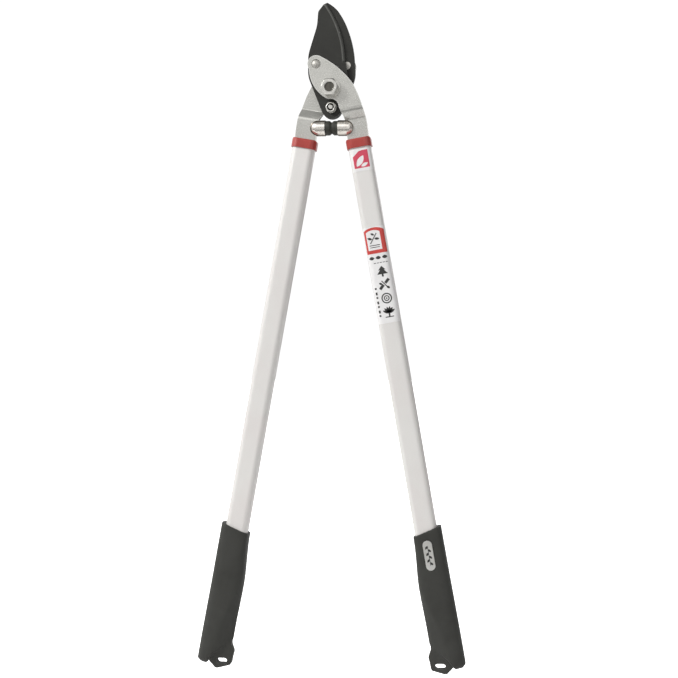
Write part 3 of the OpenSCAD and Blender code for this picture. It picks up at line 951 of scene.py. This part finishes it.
@dataclass
class Grip:
    """A soft moulded grip: a swelling body with a slanted rim, and a thinner hanging loop.

    Places across it are measured from the handle's line, outwards, and places along it as a share
    from 0 at the rim to 1 at the end. A span says where along the grip a change happens.
    """

    side: Side
    past_tube: float = 66.0 * MM
    length: float = 150.0 * MM
    rim_out: float = 17.0 * MM
    rim_in: float = 14.5 * MM
    end_out: float = 18.1 * MM
    end_in: float = 17.2 * MM
    swell_in: float = 18.0 * MM
    rim_depth: float = 10.6 * MM
    full_depth: float = 12.0 * MM
    outer_span: Point = (0.0, 0.9)
    swell_span: Point = (0.0, 0.45)
    taper_span: Point = (0.45, 0.9)
    depth_span: Point = (0.0, 0.22)
    rim_slant: float = math.tan(math.radians(14.0))
    slant_span: Point = (0.0, 0.4)
    rim_step: float = 0.8 * MM
    lip: float = 0.9 * MM
    socket: Point = (9.0 * MM, 0.6 * MM)
    rim_squareness: float = 3.4
    squareness: float = 2.5
    square_span: Point = (0.0, 0.5)
    end_round: tuple[float, float, float] = (3.2 * MM, 3.0 * MM, 5.5 * MM)
    round_span: Point = (0.968, 1.0)
    crease_reach: float = 22.0 * MM
    crease_span: Point = (0.30, 1.0)
    flank_drop: float = 0.56
    flank_span: Point = (0.34, 0.84)
    flank_least: float = 2.0 * MM
    run_off_mid: float = 8.5 * MM
    run_off_at: float = 2.0 * MM
    run_off_slope: float = 0.95
    run_off_across: Point = (7.0 * MM, 1.0 * MM)
    run_off_span: Point = (0.0, 0.9)
    loop_half: float = 4.7 * MM
    loop_round: float = 1.5 * MM
    loop_inset: float = 0.7 * MM
    slot_from_side: float = 7.9 * MM
    slot_up: float = 4.8 * MM
    slot_half: float = 2.8 * MM
    slot_radius: float = 3.2 * MM
    slot_reach: float = 30.0 * MM
    rings: int = 44
    around: int = 56
    voxel: float = 0.62 * MM
    smoothing: float = 0.5
    passes: int = 6
    face_passes: int = 120
    face_from_end: Point = (-62.0 * MM, -46.0 * MM)
    face_turn: Point = (0.45, 0.80)
    kept_faces: float = 0.45
    crease_angle: float = math.radians(50.0)

    def build(self) -> None:
        """Builds the grip and lets it stand for its CAD node."""
        node = f"{self.side.value}_grip"
        end = distance_down("right_tube", top=False) + self.past_tube
        work = placed(f"{node}_work", self._rough_mesh(end))
        cutter = placed(f"{node}_slot", self._slot_cutter(end))
        remesh = work.modifiers.new("one skin", "REMESH")
        remesh.mode = "VOXEL"
        remesh.voxel_size = self.voxel
        first = work.modifiers.new("soften creases", "SMOOTH")
        first.factor, first.iterations = self.smoothing, self.passes
        self._bake(work)
        second = work.modifiers.new("soften faces", "SMOOTH")
        second.factor, second.iterations = self.smoothing, self.face_passes
        second.vertex_group = self._face_group(work, end)
        cut = work.modifiers.new("slot", "BOOLEAN")
        cut.operation, cut.object, cut.solver = "DIFFERENCE", cutter, "EXACT"
        thin = work.modifiers.new("thin", "DECIMATE")
        thin.ratio = self.kept_faces
        self._bake(work)
        mesh = work.data
        for thing in (work, cutter):
            bpy.data.objects.remove(thing)
        smooth_faces(mesh, self.crease_angle)
        piece = new_piece(f"{node}_moulded", mesh, SOFT_GRIP, "grip", self.side.body)
        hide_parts(node)

    def _bake(self, work: bpy.types.Object) -> None:
        """Turns an object's modifiers into its mesh.

        Args:
            work: The object.
        """
        shown = work.evaluated_get(bpy.context.evaluated_depsgraph_get())
        mesh = bpy.data.meshes.new_from_object(shown)
        work.modifiers.clear()
        work.data = mesh

    def _face_group(self, work: bpy.types.Object, end: float) -> str:
        """Marks the broad front and back faces near the loop, which get more smoothing.

        Args:
            work: The rough grip.
            end: Distance down the handle to the grip's end.

        Returns:
            The name of the vertex group.
        """
        faces = work.vertex_groups.new(name="faces")
        for vert in work.data.vertices:
            near = ramp(self._distance(vert.co) - end, self.face_from_end)
            faces.add([vert.index], near * ramp(abs(vert.normal.y), self.face_turn), "REPLACE")
        return faces.name

    def _distance(self, point: Vector) -> float:
        """Distance down the handle of a point of this side."""
        out = self.side.sign * point.x - LINE.foot
        return out * math.sin(LINE.lean) - point.z * math.cos(LINE.lean)

    def _flank(self, across: float, t: float) -> float:
        """Share of the full depth that the sloping inner flank leaves.

        Args:
            across: Distance across the grip.
            t: Share along the grip.

        Returns:
            The share, 1 outside the flank.
        """
        crease = -self.swell_in + self.crease_reach * ramp(t, self.crease_span)
        if across >= crease:
            return 1.0
        width = max(self.flank_least, crease + self.swell_in)
        return 1.0 - self.flank_drop * ramp(t, self.flank_span) * min(1.0, (crease - across) / width)

    def _ring(
        self, shape: bmesh.types.BMesh, sizes: tuple[float, float, float],
        down: Callable[[float], float], t: float = 0.0,
    ) -> list:
        """Adds one ring of vertices.

        Args:
            shape: The mesh being built.
            sizes: Outer and inner half width, and half depth.
            down: Gives the distance down the handle for a distance across it.
            t: Share along the grip.

        Returns:
            The ring's vertices in order.
        """
        outer, inner, depth = sizes
        softened = ramp(t, self.square_span)
        power = 2.0 / (self.rim_squareness + (self.squareness - self.rim_squareness) * softened)
        ring = []
        for step in range(self.around):
            angle = 2.0 * math.pi * step / self.around
            c, s = math.cos(angle), math.sin(angle)
            across = math.copysign(abs(c) ** power, c) * (outer if c > 0.0 else inner)
            high = math.copysign(abs(s) ** power, s) * depth * self._flank(across, t)
            ring.append(shape.verts.new(LINE.at(self.side, across, high, down(across))))
        return ring

    def _body_sizes(self, t: float) -> tuple[float, float, float]:
        """The body's section at a place along it.

        Args:
            t: Share along the grip.

        Returns:
            Outer and inner half width, and half depth.
        """
        start, stop = self.round_span
        close = max(0.0, (t - start) / (stop - start))
        lost = 1.0 - math.sqrt(max(0.0, 1.0 - close * close))
        inner = self.rim_in + (self.swell_in - self.rim_in) * ramp(t, self.swell_span)
        full = (
            self.rim_out + (self.end_out - self.rim_out) * ramp(t, self.outer_span),
            inner - (self.swell_in - self.end_in) * ramp(t, self.taper_span),
            self.rim_depth + (self.full_depth - self.rim_depth) * ramp(t, self.depth_span),
        )
        return tuple(size - corner * lost for size, corner in zip(full, self.end_round))

    def _rough_mesh(self, end: float) -> bpy.types.Mesh:
        """Lofts the body and adds the loop, as overlapping closed shells.

        Args:
            end: Distance down the handle to the grip's end.

        Returns:
            The rough mesh.
        """
        top = end - self.length
        shape = bmesh.new()
        tube = (LINE.half_width, LINE.half_width, LINE.half_depth)
        rings = [
            self._ring(shape, tube, lambda a, deep=deep: top + deep - a * self.rim_slant)
            for deep in self.socket
        ]
        lip = tuple(size + self.lip for size in tube)
        rings.append(self._ring(shape, lip, lambda a: top - a * self.rim_slant))
        for step in range(self.rings + 1):
            t = step / self.rings
            rings.append(self._ring(shape, self._body_sizes(t), lambda a, t=t: self._down(a, t, top), t))
        for first, second in zip(rings, rings[1:]):
            join_rings(shape, first, second)
        shape.faces.new(rings[0])
        shape.faces.new(rings[-1])
        self._add_loop(shape, end)
        bmesh.ops.recalc_face_normals(shape, faces=shape.faces)
        return kept_mesh("rough grip", shape)

    def _down(self, across: float, t: float, top: float) -> float:
        """Distance down the handle of a point on the body.

        Args:
            across: Distance across the grip.
            t: Share along the grip.
            top: Distance down to the rim's middle.

        Returns:
            The distance, slanted at the rim and run off at the inner end.
        """
        slant = -across * self.rim_slant * (1.0 - ramp(t, self.slant_span))
        sloped = self.run_off_mid + (self.run_off_at - across) * self.run_off_slope
        short = sloped * ramp(across, self.run_off_across) * ramp(t, self.run_off_span)
        return top + self.rim_step + slant + t * (self.length - self.rim_step - short)

    def _add_loop(self, shape: bmesh.types.BMesh, end: float) -> None:
        """Adds the hanging loop as a flat plate with rounded edges.

        Args:
            shape: The mesh being built.
            end: Distance down the handle to the grip's end.
        """
        inner = -self.end_in + self.loop_inset
        corners = (
            (1.0, -32.0), (0.0, -24.0), (-3.6, -17.6), (-4.0, -16.0), (-3.4, -10.5), (-3.3, -3.6),
            (-2.2, -1.6), (10.2, 4.0), (13.2, 4.3), (20.0, -0.9), (25.5, -6.5), (24.0, -26.0),
        )
        front, back = (
            [LINE.at(self.side, inner + x * MM, depth, end + z * MM) for x, z in corners]
            for depth in (self.loop_half, -self.loop_half)
        )
        plate = slab_between(front, back)
        edges = [e for e in plate.edges if abs(e.verts[0].co.y - e.verts[1].co.y) < LEVEL_WITHIN]
        bmesh.ops.bevel(
            plate, geom=edges, offset=self.loop_round, segments=4, profile=0.5, affect="EDGES"
        )
        spare = kept_mesh("loop", plate)
        shape.from_mesh(spare)
        bpy.data.meshes.remove(spare)

    def _slot_cutter(self, end: float) -> bpy.types.Mesh:
        """Makes the solid that cuts the hanging slot, level at rest.

        Args:
            end: Distance down the handle to the grip's end.

        Returns:
            The cutter's mesh.
        """
        centre = LINE.at(self.side, self.slot_from_side - self.end_in, 0.0, end - self.slot_up)
        outline = []
        steps = 12
        for sign in (1.0, -1.0):
            for step in range(steps + 1):
                angle = math.pi * (step / steps - 0.5 * sign)
                outline.append((
                    centre.x + sign * self.slot_half + self.slot_radius * math.cos(angle),
                    centre.z + self.slot_radius * math.sin(angle),
                ))
        near, far = (
            [Vector((x, MIDDLE + y, z)) for x, z in outline] for y in (-self.slot_reach, self.slot_reach)
        )
        return kept_mesh("slot cutter", slab_between(near, far))


# ---------------------------------------------------------------- labels


def bar(left: float, top: float, width: float, height: float) -> Outline:
    """A rectangle, in millimetres across and down its label."""
    return [(left, top), (left + width, top), (left + width, top + height), (left, top + height)]


def disc(
    x: float, y: float, radius: float, sides: int = 28, start: float = 0.0, sweep: float = 360.0
) -> Outline:
    """Points of a circle or an arc.

    Args:
        x: Centre across.
        y: Centre down.
        radius: Its radius.
        sides: How many points a whole circle gets.
        start: First angle in degrees.
        sweep: Angle that the arc covers, in degrees.

    Returns:
        The points.
    """
    count = max(3, round(sides * abs(sweep) / 360.0))
    whole = abs(sweep) >= 360.0
    steps = count if whole else count + 1
    return [
        (x + radius * math.cos(math.radians(start + sweep * i / count)),
         y + radius * math.sin(math.radians(start + sweep * i / count)))
        for i in range(steps)
    ]


def leaf(x: float, y: float, length: float, width: float, turn: float) -> Outline:
    """A pointed leaf.

    Args:
        x: Its stem end across.
        y: Its stem end down.
        length: Stem to tip.
        width: Its widest.
        turn: The way it points, in degrees.

    Returns:
        Its outline.
    """
    steps = 10
    c, s = math.cos(math.radians(turn)), math.sin(math.radians(turn))
    shares = [i / steps for i in range(steps + 1)]
    half = [(length * t, width / 2 * math.sin(math.pi * t) ** 0.8) for t in shares]
    points = half + [(a, -b) for a, b in reversed(half[1:-1])]
    return [(x + a * c - b * s, y + a * s + b * c) for a, b in points]


def stroke(x0: float, y0: float, x1: float, y1: float, width: float) -> Outline:
    """A straight stroke between two points.

    Args:
        x0: Its start across.
        y0: Its start down.
        x1: Its end across.
        y1: Its end down.
        width: Its width.

    Returns:
        Its outline.
    """
    length = math.hypot(x1 - x0, y1 - y0)
    nx, ny = -(y1 - y0) / length * width / 2, (x1 - x0) / length * width / 2
    return [(x0 + nx, y0 + ny), (x1 + nx, y1 + ny), (x1 - nx, y1 - ny), (x0 - nx, y0 - ny)]


def arched(left: float, top: float, right: float, bottom: float, rise: float) -> Outline:
    """A block whose top is a shallow arch.

    Args:
        left: Its left side.
        top: Top of the arch.
        right: Its right side.
        bottom: Its bottom.
        rise: How much the arch rises over its corners.

    Returns:
        Its outline.
    """
    half = (right - left) / 2
    radius = (half * half + rise * rise) / (2 * rise)
    spread = math.degrees(math.asin(half / radius))
    curve = disc((left + right) / 2, top + radius, radius, 90, -90.0 - spread, 2 * spread)
    return curve + [(right, bottom), (left, bottom)]


@dataclass
class PrintedShape:
    """Flat shapes of one ink, laid round the tube on top of a label or flat on the badge.

    Each shape is an outline with its holes, in millimetres. A badge depth other than 0 lays them
    flat, at that distance in front of the middle plane.
    """

    name: str
    ink: Finish
    shapes: list[Print]
    top: float
    slot: str = "label"
    badge_depth: float = 0.0
    lift: float = 0.29 * MM
    thickness: float = 0.05 * MM
    strips: int = 14
    flat_margin: float = 0.2 * MM

    def build(self) -> None:
        """Fills the outlines, splits them where the tube turns, and lays them on it."""
        flat = bmesh.new()
        for outer, holes in self.shapes:
            edges = []
            for loop in (outer, *holes):
                ring = [flat.verts.new((x * MM, y * MM, 0.0)) for x, y in loop]
                edges += [flat.edges.new((a, b)) for a, b in zip(ring, ring[1:] + ring[:1])]
            bmesh.ops.triangle_fill(flat, use_beauty=True, edges=edges)
        for step in range(1, self.strips * 2):
            x = LINE.half_width * (step / self.strips - 1.0)
            if abs(x) > LINE.half_width - LINE.corner - self.flat_margin:
                parts = flat.verts[:] + flat.edges[:] + flat.faces[:]
                bmesh.ops.bisect_plane(
                    flat, geom=parts, plane_co=(x, 0, 0), plane_no=(1, 0, 0), dist=0.0001 * MM
                )
        bmesh.ops.recalc_face_normals(flat, faces=flat.faces)
        if sum(f.normal.z for f in flat.faces) > 0.0:
            bmesh.ops.reverse_faces(flat, faces=flat.faces)
        for vert in flat.verts:
            x, y = vert.co.x, self.top + vert.co.y
            if self.badge_depth:
                vert.co = LINE.at(Side.RIGHT, x, self.badge_depth, y)
            else:
                vert.co = LINE.on_tube(x, self.lift, y)
        mesh = kept_mesh(self.name, flat)
        piece = new_piece(self.name, mesh, self.ink, self.slot, Body.RIGHT)
        thick = piece.modifiers.new("film", "SOLIDIFY")
        thick.thickness = self.thickness
        thick.offset = 0.0


@dataclass
class Labels:
    """The film labels on the right tube and the foil badge on the right grip.

    The places of the print are in millimetres across and down its own label.
    """

    icon: float = 11.6
    icon_left: float = -3.9
    icon_pitch: float = 14.6
    first_icon: float = 42.6
    badge_round: float = 0.3 * MM
    badge_lift: float = 0.02 * MM
    rim_thickness: float = 0.2 * MM

    def build(self) -> None:
        """Dresses the films and lays their print on them."""
        for node in ("size_label", "handle_label"):
            dress(node, LABEL_FILM)
        rounded_copy("grip_badge", BADGE_FOIL, "badge", Body.RIGHT, self.badge_round)
        self._small_sticker(distance_down("size_label", top=True))
        self._long_label(distance_down("handle_label", top=True))
        self._badge_pattern(distance_down("grip_badge", top=True))

    def _small_sticker(self, top: float) -> None:
        """Prints a rose block with a plain leaf cut out of it.

        Args:
            top: Distance down the handle to the sticker's upper edge.
        """
        block = [(-8.3, 8.0), (-1.2, 2.4), (3.0, 1.8), (8.3, 1.8), (8.3, 20.6), (-8.3, 20.6)]
        leaves = [leaf(-5.6, 18.6, 14.0, 6.2, -52.0), leaf(-1.0, 18.9, 8.2, 3.6, -20.0)]
        PrintedShape("sticker_block", PINK_INK, [(block, leaves)], top).build()

    def _long_label(self, top: float) -> None:
        """Prints the arched red panel, the pictograms and the small marks.

        Args:
            top: Distance down the handle to the label's upper edge.
        """
        panel = arched(-11.0, 0.6, 11.4, 28.6, 3.2)
        window = arched(-8.6, 3.4, 6.4, 24.8, 2.2)
        PrintedShape("label_red_panel", RED_INK, [(panel, [window])], top).build()
        PrintedShape("label_emblem", BLACK_INK, list(self._emblem()), top).build()
        PrintedShape("label_pictograms", BLACK_INK, list(self._pictograms()), top).build()
        PrintedShape("label_small_marks", BLACK_INK, list(self._small_marks()), top).build()

    def _badge_pattern(self, top: float) -> None:
        """Lays a raised rim and a plain row of leaves on the badge.

        Args:
            top: Distance down the handle to the badge's upper end.
        """
        face = min(v.co.y for v in frame["nodes"]["grip_badge"].data.vertices)
        deep = MIDDLE - face + self.badge_lift
        vine = [leaf(0.0, 5.6 + 3.5 * i, 4.4, 2.3, 50.0 if i % 2 else 130.0) for i in range(6)]
        row = [(outline, []) for outline in (*vine, bar(-0.3, 5.4, 0.6, 21.0))]
        PrintedShape("badge_vine", BLACK_INK, row, top, "badge", deep).build()
        outer, inner = (
            disc(0.0, 5.0, radius, 40, 180.0, 180.0) + disc(0.0, 27.0, radius, 40, 0.0, 180.0)
            for radius in (4.6, 3.9)
        )
        rim = PrintedShape("badge_rim", BADGE_FOIL, [(outer, [inner])], top, "badge", deep)
        rim.thickness = self.rim_thickness
        rim.build()

    def _emblem(self) -> Iterable[Print]:
        """A twig with leaves over two lines.

        Returns:
            Its shapes.
        """
        yield stroke(-5.4, 17.6, 2.6, 7.0, 1.0), []
        yield leaf(-2.9, 13.2, 5.4, 2.6, -160.0), []
        yield leaf(-0.6, 12.6, 5.6, 2.6, 8.0), []
        yield leaf(0.2, 9.0, 4.6, 2.2, -150.0), []
        yield bar(-6.8, 19.4, 11.4, 0.8), []
        yield bar(-6.4, 21.6, 10.6, 0.7), []

    def _pictograms(self) -> Iterable[Print]:
        """Four plain pictograms, one under the other.

        Returns:
            Their shapes.
        """
        drawings = (self._fir, self._cut_branch, self._log_end, self._round_tree)
        for place, drawing in enumerate(drawings):
            yield from drawing(self.icon_left, self.first_icon + place * self.icon_pitch)

    def _fir(self, x: float, y: float) -> Iterable[Print]:
        """A fir of two tiers with its trunk.

        Args:
            x: Left side of the pictogram.
            y: Its top.

        Returns:
            Its shapes.
        """
        middle = x + self.icon / 2
        half = [(0.0, 0.0), (4.0, 4.4), (2.2, 4.4), (5.8, 8.8), (1.0, 8.8), (1.0, self.icon)]
        right = [(middle + out, y + down) for out, down in half]
        left = [(middle - out, y + down) for out, down in reversed(half[1:])]
        yield right + left, []

    def _cut_branch(self, x: float, y: float) -> Iterable[Print]:
        """A thick branch cut in two, with a twig and leaves.

        Args:
            x: Left side of the pictogram.
            y: Its top.

        Returns:
            Its shapes.
        """
        yield stroke(x + 0.4, y + 10.2, x + 5.0, y + 5.8, 3.0), []
        yield stroke(x + 7.0, y + 4.2, x + 11.4, y + 0.2, 3.0), []
        yield stroke(x + 3.4, y + 1.4, x + 8.8, y + 8.6, 1.1), []
        yield leaf(x + 7.8, y + 7.6, 4.4, 2.6, 40.0), []
        yield leaf(x + 3.8, y + 5.4, 4.0, 2.4, -150.0), []

    def _log_end(self, x: float, y: float) -> Iterable[Print]:
        """The end of a log, with its rings.

        Args:
            x: Left side of the pictogram.
            y: Its top.

        Returns:
            Its shapes.
        """
        across, down = x + self.icon / 2, y + self.icon / 2
        for outer, inner in ((5.7, 4.4), (3.1, 2.0)):
            yield disc(across, down, outer), [disc(across, down, inner)]
        yield disc(across, down, 0.9, 14), []

    def _round_tree(self, x: float, y: float) -> Iterable[Print]:
        """A round tree, with its trunk on a line of ground.

        Args:
            x: Left side of the pictogram.
            y: Its top.

        Returns:
            Its shapes.
        """
        middle = x + self.icon / 2
        for turn in range(-150, -20, 24):
            yield leaf(middle, y + 7.6, 7.6, 2.6, float(turn)), []
        yield bar(middle - 0.8, y + 7.4, 1.6, 4.4), []
        yield bar(middle - 4.6, y + 10.8, 9.2, 1.0), []

    def _small_marks(self) -> Iterable[Print]:
        """Short bars in place of small print.

        Returns:
            Their shapes.
        """
        for i in range(3):
            yield leaf(-9.6 + 7.0 * i, 33.4, 5.8, 3.6, 0.0), []
        for i in range(5):
            yield bar(-5.4 + 3.2 * i, 38.6, 2.2, 0.7), []
        for i in range(7):
            yield bar(-9.0, 65.0 + 4.9 * i, 2.0, 3.0 if i % 2 else 2.0), []


# ---------------------------------------------------------------- studio


@dataclass
class ViewPoint:
    """Where the camera stands: nearly level, a little to the right of the object's front."""

    distance: float = 1.19
    azimuth: float = math.radians(5.0)
    side_shift: float = 0.12
    aim_x: float = 0.0082
    aim_z: float = -0.2684
    seen_width: float = 0.732
    sensor: float = 36.0
    roll: float = math.radians(0.15)

    def build(self) -> None:
        """Makes the scene's camera."""
        data = bpy.data.cameras.new("studio camera")
        data.sensor_width = self.sensor
        data.lens = self.sensor * self.distance / self.seen_width
        data.shift_x = -self.side_shift
        camera = placed("studio camera", data)
        pivot = Vector(frame["joints"][0]["pos_m"])
        aim = Vector((self.aim_x, pivot.y, self.aim_z))
        back = Vector((math.sin(self.azimuth), -math.cos(self.azimuth), 0.0))
        right = Vector((-back.y, back.x, 0.0))
        camera.location = aim + back * self.distance + right * self.side_shift * self.seen_width
        level = (-back).to_track_quat("-Z", "Y")
        camera.rotation_euler = (level @ Quaternion((0.0, 0.0, 1.0), self.roll)).to_euler()
        bpy.context.scene.camera = camera


@dataclass
class SoftLamp:
    """A square area light that looks at a point."""

    name: str
    place: tuple[float, float, float]
    size: float
    power: float
    target: tuple[float, float, float] = (0.0, 0.0, -0.25)

    def build(self) -> None:
        """Makes the light."""
        data = bpy.data.lights.new(self.name, "AREA")
        data.size = self.size
        data.energy = self.power
        lamp = placed(self.name, data)
        lamp.location = self.place
        way = Vector(self.target) - Vector(self.place)
        lamp.rotation_euler = way.to_track_quat("-Z", "Y").to_euler()


@dataclass
class Studio:
    """A plain pale room: floor, surrounding light and soft lamps.

    Each zone changes the room's light along one axis of the sky, over a span and between two
    strengths.
    """

    floor_gap: float = 0.02
    floor_radius: float = 9.0
    floor_sides: int = 96
    room_light: float = 0.385
    floor_glow: float = 1.1
    floor_colour: tuple[float, float, float] = (0.93, 0.93, 0.93)
    floor_shade: tuple[float, float, float] = (0.16, 0.16, 0.16)
    shade_from: Point = (-0.6, -0.35)
    shade_to: Point = (-1.9, -1.3)
    seen_white: float = 1.05
    zones: tuple[tuple[str, Point, Point], ...] = (
        ("Z", (-0.3, 0.1), (0.85, 1.0)), ("Z", (0.18, 0.42), (1.0, 3.0)),
        ("Z", (0.66, 0.84), (1.0, 0.12)), ("X", (0.5, 0.85), (1.0, 0.3)),
        ("X", (-0.85, -0.5), (1.7, 1.0)), ("Y", (0.82, 0.97), (1.0, 0.2)),
        ("Y", (-0.96, -0.74), (1.34, 1.0)),
    )
    lamps: list[SoftLamp] = field(default_factory=lambda: [
        SoftLamp("key", (-1.35, -1.15, 0.95), 0.5, 27.0),
        SoftLamp("fill", (1.6, -1.5, 0.2), 1.6, 3.4),
        SoftLamp("back", (0.6, 1.9, 0.8), 1.6, 9.0),
    ])

    def build(self) -> None:
        """Builds the floor, the room light and the lamps."""
        self._floor()
        self._room()
        for lamp in self.lamps:
            lamp.build()
        bpy.context.scene.view_settings.view_transform = "Standard"

    def _floor(self) -> None:
        """Makes the pale floor under the object."""
        shape = bmesh.new()
        bmesh.ops.create_circle(
            shape, cap_ends=True, segments=self.floor_sides, radius=self.floor_radius
        )
        floor = placed("studio_floor", kept_mesh("studio_floor", shape))
        floor.location.z = CAD_BOX[0].z - self.floor_gap
        made = bpy.data.materials.new("pale floor")
        made.use_nodes = True
        shader = made.node_tree.nodes["Principled BSDF"]
        shader.inputs["Roughness"].default_value = 0.95
        shader.inputs["Specular IOR Level"].default_value = 0.0
        shader.inputs["Emission Color"].default_value = (1.0, 1.0, 1.0, 1.0)
        graph = Graph(made.node_tree)
        parts = graph.add("ShaderNodeSeparateXYZ")
        graph.wire(graph.here(), parts.inputs[0])
        near, far = (
            graph.span(parts.outputs["Y"], band, (0.0, 1.0)) for band in (self.shade_from, self.shade_to)
        )
        shade = graph.math("MULTIPLY", graph.math("SUBTRACT", 1.0, near), far)
        graph.wire(graph.mix(shade, self.floor_colour, self.floor_shade), shader.inputs["Base Color"])
        path = graph.add("ShaderNodeLightPath")
        glow = graph.math("MULTIPLY", path.outputs["Is Camera Ray"], self.floor_glow)
        graph.wire(glow, shader.inputs["Emission Strength"])
        floor.data.materials.append(made)

    def _room(self) -> None:
        """Makes the surrounding light: brighter on the left, with dark patches for the bright metal."""
        world = bpy.data.worlds.new("pale room")
        bpy.context.scene.world = world
        world.use_nodes = True
        graph = Graph(world.node_tree)
        place = graph.add("ShaderNodeTexCoord")
        parts = graph.add("ShaderNodeSeparateXYZ")
        graph.wire(place.outputs["Generated"], parts.inputs[0])
        light = self.room_light
        for axis, source, target in self.zones:
            light = graph.math("MULTIPLY", graph.span(parts.outputs[axis], source, target), light)
        room = world.node_tree.nodes["Background"]
        graph.wire(light, room.inputs["Strength"])
        room.inputs["Color"].default_value = (1.0, 1.0, 1.0, 1.0)
        plain = graph.add("ShaderNodeBackground")
        plain.inputs["Color"].default_value = (1.0, 1.0, 1.0, 1.0)
        plain.inputs["Strength"].default_value = self.seen_white
        path = graph.add("ShaderNodeLightPath")
        mixed = graph.add("ShaderNodeMixShader")
        graph.wire(path.outputs["Is Camera Ray"], mixed.inputs[0])
        graph.wire(room.outputs[0], mixed.inputs[1])
        graph.wire(plain.outputs[0], mixed.inputs[2])
        graph.wire(mixed.outputs[0], world.node_tree.nodes["World Output"].inputs["Surface"])


def main() -> None:
    """Builds every sub-assembly in order, then the studio."""
    logging.basicConfig(level=logging.INFO, format="%(name)s: %(message)s")
    ViewPoint().build()
    assemblies = [Blades(), PlatesAndPivot()]
    assemblies += [Bumper(side) for side in Side]
    assemblies += [Handle(side) for side in Side]
    assemblies += [Labels(), Studio()]
    for assembly in assemblies:
        LOG.info("building %s", type(assembly).__name__)
        assembly.build()


if __name__ == "__main__":
    main()
